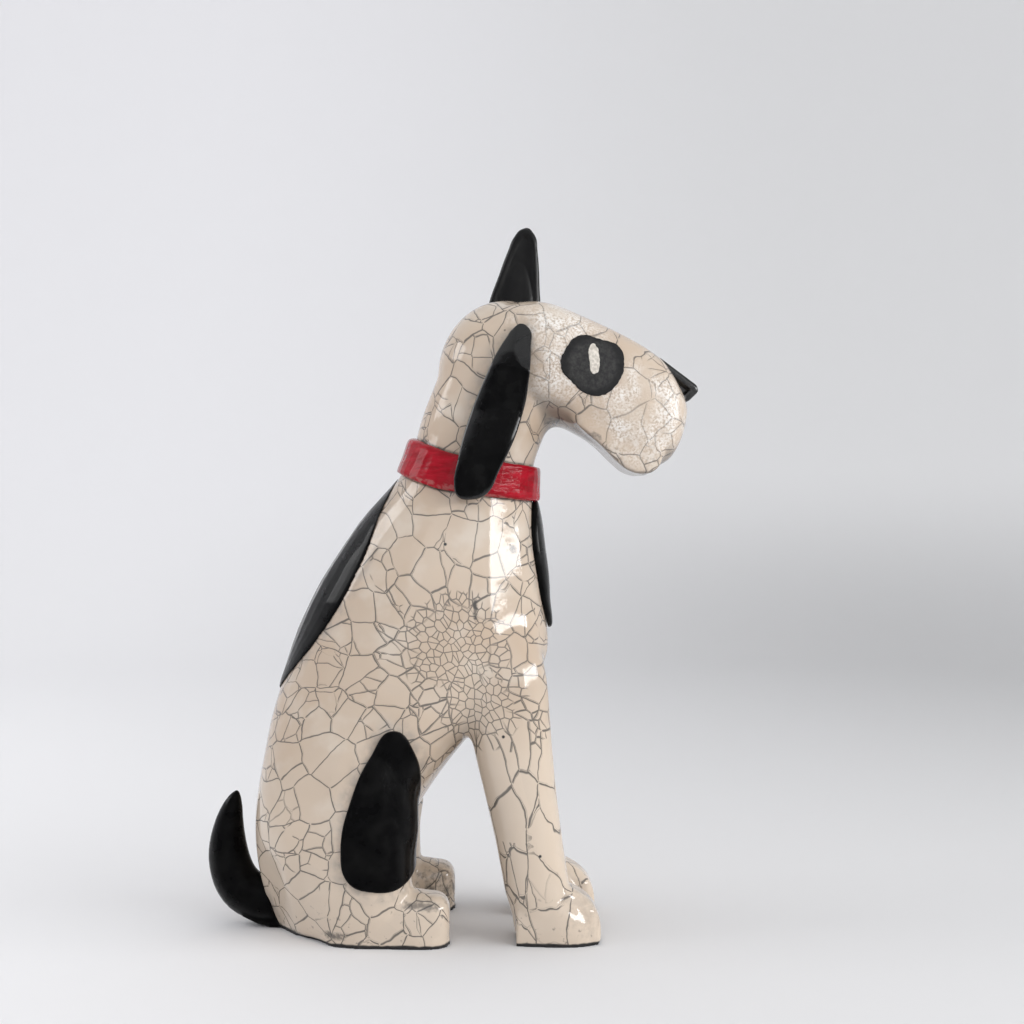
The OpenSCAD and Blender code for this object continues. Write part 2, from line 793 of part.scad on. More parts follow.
// Depth of the tail's root inside the rump, and how far the tail dips behind it
tail_sunk = 3;
tail_dip = 2;
tail_root_z = tail_d / 2 + tail_gap;
tail_root_x = column_back(tail_root_z);
tail_spine = [[tail_root_x + tail_sunk, 0, tail_root_z],
              [tail_root_x - tail_reach, 0, tail_root_z - tail_dip],
              [tail_root_x - tail_reach * 0.96, 0, tail_h * 0.67],
              [tail_root_x - tail_reach * 0.66, 0, tail_h]];
tail_steps = 20;
// Curve of the taper, and the share of the spine at which the last section lies
tail_taper = [2.6, 0.7];
tail_end_share = 0.995;
// The tail is a little flatter from side to side
tail_flat_share = 0.9;
function tail_share(t) = pow(1 - pow(t, tail_taper[0]), tail_taper[1]);
// Direction of the spine, from two points a short way apart
tail_probe_share = 0.01;
function tail_along(t) =
    let (ahead = bezier(tail_spine, min(1, t + tail_probe_share)),
         behind = bezier(tail_spine, max(0, t - tail_probe_share)))
    (ahead - behind) / norm(ahead - behind);

module tail_form() {
    skin([for (i = [0:tail_steps])
        let (t = i / tail_steps * tail_end_share, d = tail_along(t), r = tail_d / 2 * tail_share(t))
        section(bezier(tail_spine, t), [d[2], 0, -d[0]], [0, 1, 0],
                r, r * tail_flat_share, 2, limb_sides)]);
}

module tail() {
    color(bare_colour)
        one_skin() difference() { tail_form(); trunk_form(); }
}

// Dark pads on the back and the chest: egg-shaped cushions that follow the body

pad_sides = 24;
pad_steps = 18;
// How far a pad's skin reaches into the body before it is cut there
pad_root = 2;
// Squareness of a pad's section: its middle is flat and its rim rounds over
pad_square = 4;

// Place along X of the body's front (facing 1) or back (facing -1), at a distance y from the middle
function column_x(y, z, facing) =
    let (back = column_back(z), front = column_front(z),
         v = min(1, abs(y) / column_half(z)))
    (back + front) / 2 + facing * (front - back) / 2 * pow(1 - pow(v, trunk_square), 1 / trunk_square);

// One section of a pad: half width w, and lift at its middle
function pad_ring(z, w, lift, facing) =
    [for (i = [0:pad_sides - 1])
        let (angle = 360 * i / pad_sides,
             out = signed_power(cos(angle), 2 / pad_square),
             y = facing * w * signed_power(sin(angle), 2 / pad_square))
        [column_x(y, z, facing) + facing * out * (out > 0 ? lift : pad_root), y, z]];

// A pad of egg outline, from its top down, fullest at share full of its height
module column_pad(top, height, width, full, lift, facing) {
    skin([for (i = [0:pad_steps])
        let (s = -cos(2 * end_turn + (180 - 4 * end_turn) * i / pad_steps),
             share = dome(abs(s)),
             z = top - height * (1 - full) + s * height * (s > 0 ? 1 - full : full))
        pad_ring(z, width / 2 * share, lift * sqrt(share), facing)]);
}

// The pads' tops run up under the collar
saddle_drop = 4;
saddle_top = neck_h - saddle_drop;
saddle_full = 0.42;
module saddle_pad() {
    color(bare_colour)
        one_skin() difference() {
            column_pad(saddle_top, saddle_h, saddle_width, saddle_full, saddle_t, -1);
            trunk_form();
            collar_strip();
        }
}

bib_under = 3;
bib_top = neck_h - neck_depth / 2 * tan(collar_tilt) - collar_h / 2 + bib_under;
bib_full = 0.58;
module chest_pad() {
    color(bare_colour)
        one_skin() difference() {
            column_pad(bib_top, bib_h, bib_width, bib_full, bib_t, 1);
            trunk_form();
            collar_strip();
        }
}

// Dark pad on the right thigh: a thin layer over thigh and body, cut to a leaf outline

// A leaf outline, w wide and h high, fullest at share full of its height, its top pushed along by lean
leaf_points = 40;
// Squareness of the leaf above and below its fullest level
leaf_square_top = 1.8;
leaf_square_foot = 2.6;
function leaf(w, h, full, lean) =
    [for (i = [0:leaf_points - 1])
        let (angle = 360 * i / leaf_points, above = sin(angle) > 0,
             power = 2 / (above ? leaf_square_top : leaf_square_foot),
             up = signed_power(sin(angle), power) * (above ? 1 - full : full))
        [w / 2 * signed_power(cos(angle), power) + lean * up, h * up]];

// An outline seen from the right side, from y0 to y1
module along_y(y0, y1) {
    translate([0, y1, 0]) rotate([90, 0, 0]) linear_extrude(y1 - y0) children();
}

thigh_pad_drop = 9;
thigh_pad_top = thigh_h - thigh_pad_drop;
thigh_pad_full = 0.42;
// How far the pad's top lies forward of its bottom
thigh_pad_lean = 11;
// How far the leaf runs past the front of the thigh, so that the pad wraps round it
thigh_pad_wrap = 6;
// Inner edge of the pad on the front of the thigh
thigh_pad_inner = thigh_y - thigh_width * 0.22;

// The half space behind a place along X
module behind(x) {
    translate([x - seam_reach, -seam_reach / 2, 0]) cube(seam_reach);
}

module thigh_pad() {
    outline_width = thigh_pad_width + thigh_pad_wrap;
    pad_x = knee_front + thigh_pad_t + thigh_pad_wrap - outline_width / 2;
    color(bare_colour)
        one_skin() difference() {
            intersection() {
                union() {
                    mirrored_y(true) thigh(thigh_pad_t);
                    intersection() {
                        column(thigh_pad_top - thigh_pad_h, thigh_pad_top + past, thigh_pad_t);
                        behind(knee_front);
                    }
                }
                along_y(-seam_reach / 2, -thigh_pad_inner)
                    translate([pad_x, thigh_pad_top - thigh_pad_h * (1 - thigh_pad_full)])
                        polygon(leaf(outline_width, thigh_pad_h, thigh_pad_full, thigh_pad_lean));
            }
            trunk_form();
            mirrored_y(true) hind_leg_form();
        }
}

// Eyes: a thin dark disc on each side of the head, with a pale glint let into it

eye_z = crown_h - eye_drop;
// Number of corners of the hand-cut disc, and the shares by which their distances vary
eye_corners = 8;
eye_lobe = 0.03;
eye_nick = 0.02;
eye_turn = 40;
eye_points = 32;
// Place of the glint in the eye, as shares of the eye's diameter
glint_place = [0.02, 0.08];
// The glint stands a little proud of the eye
glint_proud = 1.25;
module eye_outline() {
    translate([eye_x, eye_z])
        polygon([for (i = [0:eye_points - 1])
            let (angle = 360 * i / eye_points,
                 r = eye_d / 2 * (1 + eye_lobe * cos(angle * 3 + eye_turn)
                                  + eye_nick * cos(angle * eye_corners)))
            [r * cos(angle), r * sin(angle)]]);
}
module glint_outline() {
    half = (glint_length - glint_width) / 2;
    translate([eye_x + eye_d * glint_place[0], eye_z + eye_d * glint_place[1]])
        hull() for (end = [-half, half]) translate([0, end]) circle(d = glint_width, $fn = 24);
}

// A layer on the side of the muzzle, as thick as grow
module side_layer(grow) {
    difference() {
        intersection() {
            muzzle(grow);
            along_y(-seam_reach / 2, 0) children();
        }
        head_form();
    }
}

module eye(left) {
    color(bare_colour)
        one_skin() mirrored_y(left) side_layer(eye_t) difference() { eye_outline(); glint_outline(); }
}

module eye_glint(left) {
    color(glaze_colour)
        one_skin() mirrored_y(left) side_layer(eye_t * glint_proud) glint_outline();
}

torso();
head();
collar();
nose();
hanging_ear();
upright_ear();
tail();
foreleg(false);  // right_foreleg
foreleg(true);  // left_foreleg
hind_leg(false);  // right_hind_leg
hind_leg(true);  // left_hind_leg
saddle_pad();
chest_pad();
thigh_pad();
eye(false);  // right_eye
eye_glint(false);  // right_eye_glint
eye(true);  // left_eye
eye_glint(true);  // left_eye_glint
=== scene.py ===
# %% [markdown]
# A seated dog in crackle glaze
#
# The real dog is built by hand from clay: a hollow body, a hollow head, four legs, and rolled or pressed
# pieces for the ears, the nose and the tail. It is glazed cream white, apart from the places that stay bare,
# then taken red hot from the kiln and smoked. The glaze cracks, and smoke blackens the cracks and the bare
# clay. This lesson takes the measured construction as its frame and dresses it, piece by piece.

# %% Load the construction
import math
from contextlib import contextmanager

import bpy
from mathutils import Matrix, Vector, noise
from mathutils.bvhtree import BVHTree


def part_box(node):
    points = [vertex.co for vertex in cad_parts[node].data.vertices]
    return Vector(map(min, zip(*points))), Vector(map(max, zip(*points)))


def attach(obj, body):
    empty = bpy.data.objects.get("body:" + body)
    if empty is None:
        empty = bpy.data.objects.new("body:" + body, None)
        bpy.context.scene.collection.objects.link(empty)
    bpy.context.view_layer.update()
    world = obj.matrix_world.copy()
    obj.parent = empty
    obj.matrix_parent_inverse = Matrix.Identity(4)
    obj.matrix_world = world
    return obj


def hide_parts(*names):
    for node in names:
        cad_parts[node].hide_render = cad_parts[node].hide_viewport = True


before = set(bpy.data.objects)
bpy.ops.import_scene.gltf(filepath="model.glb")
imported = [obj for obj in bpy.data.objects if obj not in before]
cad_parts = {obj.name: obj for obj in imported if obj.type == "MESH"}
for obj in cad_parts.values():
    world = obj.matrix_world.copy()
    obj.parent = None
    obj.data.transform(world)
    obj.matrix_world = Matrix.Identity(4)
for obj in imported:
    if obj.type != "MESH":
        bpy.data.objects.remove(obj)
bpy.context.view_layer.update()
mm = 0.001


def in_mm(lengths):
    """Lengths in millimetres, rounded for printing."""
    return [round(length / mm, 1) for length in lengths]


# %% [markdown]
# The camera
#
# The photograph is taken from the dog's right side, level, from a little above the middle of its height.
# A portrait lens at 800 mm gives the small amount of perspective that the four feet show on the table.

# %% Place the camera
camera_ahead = 29.5 * mm
camera_away = 800 * mm
camera_height = 206 * mm
film_width = 36
lens_length = 56.25
bpy.ops.object.camera_add(
    location=(camera_ahead, -camera_away, camera_height), rotation=(math.radians(90), 0, 0)
)
camera = bpy.context.active_object
camera.data.sensor_width = film_width
camera.data.lens = lens_length
bpy.context.scene.camera = camera
bpy.context.scene.view_settings.view_transform = "Standard"
print("camera:", camera.data.lens, "mm lens")

# %% [markdown]
# Working by hand, in code
#
# Every step below does what a modeller does with the mouse: pick something, go into edit mode, apply a
# modifier. A few short helpers keep those moves readable. An operator acts on all that is selected, so the
# selection is always cleared before something is picked or added.

# %% Helpers for picking and editing
def deselect():
    """Leaves nothing selected, so that a new primitive comes alone."""
    bpy.ops.object.select_all(action="DESELECT")


def pick(*pieces):
    """Selects these pieces alone and makes the first one active."""
    deselect()
    for piece in pieces:
        piece.select_set(True)
    bpy.context.view_layer.objects.active = pieces[0]


@contextmanager
def editing(piece):
    """Edit mode on one piece, with all of it selected at the start."""
    pick(piece)
    bpy.ops.object.mode_set(mode="EDIT")
    bpy.ops.mesh.select_all(action="SELECT")
    yield
    bpy.ops.object.mode_set(mode="OBJECT")


def apply_modifier(piece, kind, **settings):
    """Adds one modifier with these settings and applies it."""
    pick(piece)
    modifier = piece.modifiers.new(kind.lower(), kind)
    for name, value in settings.items():
        setattr(modifier, name, value)
    bpy.ops.object.modifier_apply(modifier=modifier.name)

# %% [markdown]
# Clay pressed into the joints
#
# Extra clay fills the nook between rump and hind foot, and each cheek is a flat slab that ends in a crisp
# lower lip. Both could be sculpted with a brush. Here each one is a closed prism, drawn as an outline and
# extruded, because the recast further down melts it into the skin and rounds its edges.

# %% Helpers for drawn shapes
weld_distance = 0.01 * mm
off_plane = 1 * mm


def prism(called, corners, reach, rounded=True):
    """A closed prism: the outline through these corners in mm, drawn out along reach."""
    deselect()
    bpy.ops.curve.primitive_bezier_circle_add(radius=mm)
    piece = bpy.context.active_object
    piece.name = called
    spline = piece.data.splines[0]
    spline.bezier_points.add(len(corners) - len(spline.bezier_points))
    for knot, corner in zip(spline.bezier_points, corners):
        knot.co = Vector(corner) * mm
        knot.handle_left_type = knot.handle_right_type = "AUTO" if rounded else "VECTOR"
    piece.data.dimensions = "3D"
    piece.data.resolution_u = 16 if rounded else 1
    bpy.ops.object.convert(target="MESH")
    with editing(piece):
        bpy.ops.mesh.remove_doubles(threshold=weld_distance)
        bpy.ops.mesh.edge_face_add()
        bpy.ops.mesh.extrude_region_move(TRANSFORM_OT_translate={"value": Vector(reach) * mm})
        bpy.ops.mesh.select_all(action="SELECT")
        bpy.ops.mesh.normals_make_consistent(inside=False)
    return piece


def select_points(piece, test):
    """In edit mode, selects the points of a piece that pass a test."""
    bpy.ops.mesh.select_mode(type="VERT")
    bpy.ops.mesh.select_all(action="DESELECT")
    bpy.ops.object.mode_set(mode="OBJECT")
    for vertex in piece.data.vertices:
        vertex.select = test(vertex.co)
    bpy.ops.object.mode_set(mode="EDIT")

# %% Clay in the nooks beside the hind feet
haunch_floor = [(-88, -2), (-82, -15), (-73, -26.5), (-60, -39), (-43, -45), (-38, -26), (-58, -2)]
haunch_top = 32
haunch_x, haunch_y = -58, -18
haunch_lean = (0.8, 0.8, 1)


def haunch_fillet(side):
    """Clay that fills the nook between rump and hind foot, leaning in towards its top."""
    corners = [(x, y * side, 0) for x, y in haunch_floor]
    piece = prism("haunch_fillet", corners, (0, 0, haunch_top), rounded=False)
    with editing(piece):
        select_points(piece, lambda point: point.z > off_plane)
        middle = Vector((haunch_x, haunch_y * side, haunch_top)) * mm
        bpy.ops.transform.resize(value=haunch_lean, center_override=middle)
    return piece


fillets = [haunch_fillet(1), haunch_fillet(-1)]
print("nook fillets:", in_mm(fillets[0].dimensions), "mm each")

# %% Cheeks with a lower lip
jowl_edge = [
    (60, 249), (66, 243.6), (72, 239), (79, 231.8), (85, 226.6), (90.5, 224.3), (97, 224.6), (101, 227.6),
    (103, 232), (102, 243), (62, 258),
]
jowl_depth = 29
jowl_start = 60
jowl_turn = math.radians(5.5)


def jowl(side):
    """The flat cheek that ends in a crisp lower lip, slightly turned to follow the tapering muzzle."""
    corners = [(x, 0, z) for x, z in jowl_edge]
    piece = prism("jowl", corners, (0, -jowl_depth * side, 0), rounded=False)
    with editing(piece):
        select_points(piece, lambda point: abs(point.y) > off_plane)
        middle = Vector((jowl_start, -jowl_depth * side, 0)) * mm
        bpy.ops.transform.rotate(
            value=-jowl_turn * side, orient_axis="Z", center_override=middle
        )
    return piece


fillets += [jowl(1), jowl(-1)]
print("cheeks:", in_mm(fillets[-1].dimensions), "mm each")

# %% [markdown]
# Toes
#
# The paws end in blunt toes, sloping on the forepaws and flat on top on the hind paws. The construction's
# paws are plainer. A block of clay is made from where each sole stands, so that it follows the paw. It is
# bevelled on all its edges, and on the forepaws it is also tapered towards its top and its tip.

# %% Blocks for the toes
legs = ["right_foreleg", "left_foreleg", "right_hind_leg", "left_hind_leg"]
sole_layer = 2 * mm
toe_length = 16 * mm
toe_profile = [(-28, 0), (0, 0), (0, 11), (-2.6, 17), (-8, 22), (-17, 26.5), (-28, 26.5)]
toe_round = 3 * mm
toe_top_start = 14 * mm
toe_top_width = (1, 0.7, 1)
toe_tip_length = 4 * mm
toe_tip_width = (1, 0.78, 1)
hind_toe_length = 32 * mm
hind_toe_height = 24.5 * mm


def sole_front(name):
    """The front end of a leg's sole and the two sides of its toes."""
    sole = [vertex.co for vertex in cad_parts[name].data.vertices if vertex.co.z < sole_layer]
    front = max(point.x for point in sole)
    toes = [point.y for point in sole if point.x > front - toe_length]
    return front, min(toes), max(toes)


def fore_toes(name):
    """The sloping block of toes at the front of a forepaw, from where its sole stands."""
    front, left, right = sole_front(name)
    corners = [(front / mm + x, left / mm, z) for x, z in toe_profile]
    piece = prism("fore_toes", corners, (0, (right - left) / mm, 0), rounded=False)
    middle = (front, (left + right) / 2, 0)
    with editing(piece):
        select_points(piece, lambda point: point.z > toe_top_start)
        bpy.ops.transform.resize(value=toe_top_width, center_override=middle)
        select_points(piece, lambda point: point.x > front - toe_tip_length)
        bpy.ops.transform.resize(value=toe_tip_width, center_override=middle)
        bpy.ops.mesh.select_all(action="SELECT")
        bpy.ops.mesh.bevel(offset=toe_round, segments=3, affect="EDGES")
    return piece


def hind_toe_box(name):
    """The flat-topped block of toes at the front of a hind paw, as middle and size."""
    front, left, right = sole_front(name)
    size = Vector((hind_toe_length, right - left, hind_toe_height))
    return Vector((front - size.x / 2, (left + right) / 2, size.z / 2)), size


for name in legs:
    print(name, "has its toes at", in_mm(sole_front(name)), "mm")

# %% [markdown]
# The glazed skin
#
# Torso, head and legs are separate pieces of clay, but the potter smooths wet clay over the joints, and the
# glaze then runs over all of them as one skin. Boolean unions would leave hard creases there. Recasting all
# the pieces together, as one even net of small squares, gives one skin that can be relaxed afterwards. A plug
# closes the vent for a while, so that the recast sees a closed body.

# %% Helpers for copying, joining, cutting and recasting
def copy_nodes(called, *names):
    """A joined copy of pieces of the construction, with the doubled points of its triangles merged."""
    pick(*[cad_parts[name] for name in names])
    bpy.ops.object.duplicate()
    copies = bpy.context.selected_objects
    pick(*copies)
    if len(copies) > 1:
        bpy.ops.object.join()
    piece = bpy.context.active_object
    piece.parent = None
    for key in [key for key in piece.keys() if key.startswith("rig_")]:
        del piece[key]
    piece.name = called
    piece.data.name = called
    piece.data.materials.clear()
    with editing(piece):
        bpy.ops.mesh.remove_doubles(threshold=weld_distance)
    return piece


def join(piece, *others):
    """Joins other pieces into the first one."""
    pick(piece, *others)
    bpy.ops.object.join()


def cut_off(piece, place, normal):
    """Cuts away what lies beyond a plane, on the side that its normal points to, and closes the cut."""
    with editing(piece):
        bpy.ops.mesh.bisect(plane_co=place, plane_no=normal, clear_outer=True, use_fill=True)


def recast(piece, voxel, rounds=0):
    """Recasts a piece as an even net of small squares and relaxes it, so that facets and seams go."""
    pick(piece)
    piece.data.remesh_voxel_size = voxel
    bpy.ops.object.voxel_remesh()
    if rounds:
        apply_modifier(piece, "SMOOTH", factor=0.5, iterations=rounds)

# %% Join the clay pieces
vent_place = Vector((-68.5 * mm, 0, 0))
vent_radius = 4.5 * mm
plug_radius = vent_radius * 1.3
plug_height = 12 * mm
plug_middle = vent_place + Vector((0, 0, 6.2 * mm))
thigh_middle = Vector((-36.5, 38, 61)) * mm
thigh_size = Vector((20.5, 14, 38)) * mm
hind_toe_round = 8 * mm

skin = copy_nodes("glazed_body", "torso", "head", *legs)
with editing(skin):
    bpy.ops.mesh.select_all(action="DESELECT")
    bpy.ops.mesh.primitive_cylinder_add(radius=plug_radius, depth=plug_height, location=plug_middle)
    for side in (-1, 1):
        middle = thigh_middle * Vector((1, side, 1))
        bpy.ops.mesh.select_all(action="DESELECT")
        bpy.ops.mesh.primitive_uv_sphere_add(segments=32, ring_count=16, radius=1, location=middle)
        bpy.ops.transform.resize(value=thigh_size, center_override=middle)
        print("swell of the thigh at", in_mm(middle))
    for name in legs[2:]:
        middle, size = hind_toe_box(name)
        bpy.ops.mesh.select_all(action="DESELECT")
        bpy.ops.mesh.primitive_cube_add(size=1, location=middle)
        bpy.ops.transform.resize(value=size, center_override=middle)
        bpy.ops.mesh.bevel(offset=hind_toe_round, segments=4, affect="EDGES")
        print("hind toes at", in_mm(middle), "of", in_mm(size), "mm")
cut_off(skin, (0, 0, 0), (0, 0, -1))
join(skin, *fillets, *[fore_toes(name) for name in legs[:2]])
print("joined clay:", in_mm(skin.dimensions), "mm")

# %% Recast it as one skin, with the corners of the rump wiped off
skin_voxel = 1.25 * mm
rump_end = Vector((-90, 0, 0)) * mm
rump_slope = Vector((-0.83, -0.56, -0.4)).normalized()

recast(skin, voxel=skin_voxel)
for side in (1, -1):
    cut_off(skin, rump_end, rump_slope * Vector((1, side, 1)))
recast(skin, voxel=skin_voxel)
print("skin:", len(skin.data.polygons), "squares")

# %% [markdown]
# Thumbed joints
#
# The potter's thumb leaves soft fillets where a leg meets the body and under the throat, while paws, muzzle
# and lip stay crisp. One Smooth modifier over everything would blunt them all. So each point gets a weight,
# from how near it is to a joint and from where it lies, and the modifier relaxes it by that weight.

# %% Helpers for distances and weights
def tree_of(*pieces):
    """A search tree over the triangles of some pieces, for distances."""
    points, faces = [], []
    for piece in pieces:
        start = len(points)
        points += [vertex.co.copy() for vertex in piece.data.vertices]
        faces += [[start + i for i in face.vertices] for face in piece.data.polygons]
    return BVHTree.FromPolygons(points, faces)


def fade(distance, near, far):
    """1 up to near, 0 from far on, and a smooth step between."""
    t = min(1, max(0, (far - distance) / (far - near)))
    return t * t * (3 - 2 * t)


def weigh(piece, called, share):
    """A vertex group that gives each point the weight that share finds for its place."""
    group = piece.vertex_groups.new(name=called)
    for vertex in piece.data.vertices:
        group.add([vertex.index], share(vertex.co), "REPLACE")

# %% Relax each point by its weight
torso_tree = tree_of(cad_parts["torso"])
leg_tree = tree_of(*[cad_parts[name] for name in legs])
throat = Vector((50 * mm, 0, 250 * mm))
throat_reach = (4 * mm, 13 * mm)
joint_reach = (4 * mm, 16 * mm)
paw_reach = (24 * mm, 46 * mm)
head_reach = (240 * mm, 255 * mm)
lip_reach = (240 * mm, 252 * mm)
lip_start = 62 * mm
sole_reach = (1.5 * mm, 6 * mm)
skin_weight = 0.35
paw_crispness = 0.29
head_crispness = 0.21
lip_crispness = 0.6
sole_crispness = 0.8
joint_crispness = 0.4
relax_rounds = 180


def relax_share(point):
    """Most where a leg meets the torso and under the throat, least on the crisp paws and the muzzle."""
    to_torso = torso_tree.find_nearest(point)[3]
    to_leg = leg_tree.find_nearest(point)[3]
    joint = fade(max(to_torso, to_leg), *joint_reach)
    bend = fade((Vector((point.x, 0, point.z)) - throat).length, *throat_reach)
    on_paw = fade(point.z, *paw_reach)
    on_head = 1 - fade(point.z, *head_reach)
    plain = skin_weight - paw_crispness * on_paw - head_crispness * on_head
    if point.x > lip_start and point.z > paw_reach[1]:
        plain *= 1 - lip_crispness * fade(point.z, *lip_reach)
    sole = fade(point.z, *sole_reach)
    return max(plain * (1 - sole_crispness * sole), joint * (1 - joint_crispness * sole), bend)


weigh(skin, "relax", relax_share)
apply_modifier(skin, "SMOOTH", factor=0.5, iterations=relax_rounds, vertex_group="relax")
print("skin relaxed to", in_mm(skin.dimensions), "mm")

# %% [markdown]
# Full forelegs on flat soles
#
# Relaxing takes a little off the slender forelegs and rounds the soles. A Displace modifier, weighted to the
# columns of the legs, gives that back. Then come the slight waves of hand-pressed clay, as noise along the
# normals, and last the lowest points are pressed flat on the table, because the dog stands on them.

# %% Fill the forelegs, press the clay and set the soles flat
leg_filling = 1.2 * mm
leg_front = (5 * mm, 20 * mm)
leg_foot = (12 * mm, 26 * mm)
leg_top = (112 * mm, 140 * mm)
sole_thickness = 0.7 * mm


def leg_share(point):
    """1 on the columns of the forelegs, fading out on the chest, behind them and in the paws."""
    low = 1 - fade(point.z, *leg_foot)
    return low * fade(point.z, *leg_top) * (1 - fade(point.x, *leg_front))


def wobble(piece, size, depth, seed):
    """Leaves the slight waves of hand-pressed clay: noise of this size, this deep, along the normals."""
    start = Vector((seed, seed * 2, seed * 3))
    points = piece.data.vertices
    moves = [point.normal * noise.noise(point.co / size + start) * depth for point in points]
    for point, move in zip(points, moves):
        point.co += move
    piece.data.update()


def stand(piece):
    """Presses the lowest points of a piece flat on the table."""
    for vertex in piece.data.vertices:
        if vertex.co.z < sole_thickness:
            vertex.co.z = 0
    piece.data.update()


weigh(skin, "foreleg", leg_share)
apply_modifier(skin, "DISPLACE", strength=leg_filling, mid_level=0, vertex_group="foreleg")
wobble(skin, size=38 * mm, depth=0.5 * mm, seed=3.7)
stand(skin)
print("skin stands on the table,", in_mm(skin.dimensions), "mm")

# %% [markdown]
# Body and head
#
# On the real dog the head is set on the neck under the collar. The skin is cut there, in the tilted plane of
# the collar's middle, into two pieces that carry the names of what they stand for.

# %% Cut the skin under the collar
collar_low, collar_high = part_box("collar")
collar_middle = (collar_low + collar_high) / 2
collar_tilt = math.radians(12.5)
seam_normal = Vector((math.sin(collar_tilt), 0, math.cos(collar_tilt)))


def copy_piece(piece, called):
    """A copy of a piece with its own mesh."""
    pick(piece)
    bpy.ops.object.duplicate()
    twin = bpy.context.active_object
    twin.name = called
    twin.data.name = called
    return twin


body = skin
head = copy_piece(skin, "glazed_head")
for piece, side in ((body, 1), (head, -1)):
    cut_off(piece, collar_middle, seam_normal * side)
    print(piece.name, len(piece.data.polygons), "faces")

# %% [markdown]
# The vent
#
# A closed hollow would burst in the kiln, so a small hole in the underside lets the air out. It is drilled by
# a Boolean after the recast, because a recast would blur an edge as fine as this.

# %% Open the vent in the underside
drill_length = 30 * mm
deselect()
bpy.ops.mesh.primitive_cylinder_add(
    vertices=48, radius=vent_radius, depth=drill_length, location=vent_place
)
drill = bpy.context.active_object
apply_modifier(body, "BOOLEAN", operation="DIFFERENCE", object=drill, solver="MANIFOLD")
bpy.data.objects.remove(drill)
print("vent opened,", round(2 * vent_radius / mm, 1), "mm wide")

# %% [markdown]
# The hanging ear
#
# The dog's right ear is a flattened strip of bare clay, folded over at its root and hanging down over the
# collar. Its construction piece is stretched a little, so that the outline seen from the side can be trimmed
# out of it with a Boolean, and one flat facet is cut where the strip folds. A last recast rounds the edges.

# %% Trim and fold the hanging ear
ear_outline = [
    (33, 296.4), (26.5, 289), (16.7, 270.5), (8.2, 248.5), (3.7, 230.5), (2, 219), (4, 213), (10.5, 211.8),
    (17.5, 214.6), (23.8, 226), (29.4, 237.5), (34.4, 252.5), (37.6, 268), (38.4, 284), (38, 294),
]
ear_stretch = (1.2, 1, 1.05)
trim_start, trim_depth = -80, 75
facet_probe = Vector((33 * mm, -0.2, 276 * mm))
facet_normal = (0.34, -0.88, 0.33)

right_ear = copy_nodes("right_ear", "hanging_ear")
ear_low, ear_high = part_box("hanging_ear")
with editing(right_ear):
    bpy.ops.transform.resize(value=ear_stretch, center_override=(ear_low + ear_high) / 2)
trim = prism("ear_trim", [(x, trim_start, z) for x, z in ear_outline], (0, trim_depth, 0))
recast(right_ear, voxel=0.6 * mm, rounds=6)
apply_modifier(right_ear, "BOOLEAN", operation="INTERSECT", object=trim, solver="MANIFOLD")
bpy.data.objects.remove(trim)
fold = tree_of(right_ear).ray_cast(facet_probe, Vector((0, 1, 0)))[0]
cut_off(right_ear, fold, facet_normal)
recast(right_ear, voxel=0.5 * mm, rounds=14)
print(right_ear.name, len(right_ear.data.polygons), "faces, folded at y", round(fold.y / mm, 1))

# %% [markdown]
# The upright ear
#
# The left ear is a cupped leaf of clay with a rolled rim and a ridge inside its fold. The rim is a bevelled
# curve along the edge of the leaf, thickest at the tip, and the ridge is a flattened ball. Joined with the
# leaf and recast, they become one piece of clay.

# %% Give the upright ear its rolled rim and its ridge
rim_path = [
    (17.4, 303, 0.9), (20, 314, 0.9), (24.8, 327, 0.9), (29.4, 339, 1), (32.6, 345.4, 1.2),
    (36.2, 348.6, 1.3), (39.4, 346.4, 1.2), (41, 340, 0.8), (41.8, 333, 0.4),
]
rim_radius = 2 * mm
leaf_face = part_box("upright_ear")[0].y
rim_y = leaf_face + 1.6 * mm
fold_middle = Vector((32.5 * mm, leaf_face + 1.5 * mm, 312 * mm))
fold_size = Vector((8, 1.9, 22)) * mm

left_ear = copy_nodes("left_ear", "upright_ear")
deselect()
bpy.ops.curve.primitive_bezier_curve_add(radius=mm)
rim = bpy.context.active_object
knots = rim.data.splines[0].bezier_points
knots.add(len(rim_path) - len(knots))
for knot, (x, z, share) in zip(knots, rim_path):
    knot.co = (x * mm, rim_y, z * mm)
    knot.radius = share
    knot.handle_left_type = knot.handle_right_type = "AUTO"
rim.data.bevel_depth = rim_radius
rim.data.use_fill_caps = True
bpy.ops.object.convert(target="MESH")
deselect()
bpy.ops.mesh.primitive_uv_sphere_add(segments=32, ring_count=16, radius=1, location=fold_middle)
ridge = bpy.context.active_object
ridge.scale = fold_size
bpy.ops.object.transform_apply(location=True, scale=True)
join(left_ear, rim, ridge)
recast(left_ear, voxel=0.5 * mm, rounds=5)
print(left_ear.name, len(left_ear.data.polygons), "faces")

# %% [markdown]
# Tail, saddle and bib
#
# The tail is a rolled horn, pressed on low on the rump. Saddle and bib are soft pads of black clay. Their
# construction pieces have the right form, so a fine recast that is relaxed a little is enough to round their
# edges. The tail also gets a wedge of clay at its root, and sits a little closer to the rump.

# %% Round the tail, the saddle and the bib
tail_root = [(-106, 6), (-97, 1.8), (-89, 0.3), (-84, 0.3), (-84, 16), (-99, 18)]
root_half = 7
tail_filling = 0.6 * mm
tail_press = 1.4 * mm

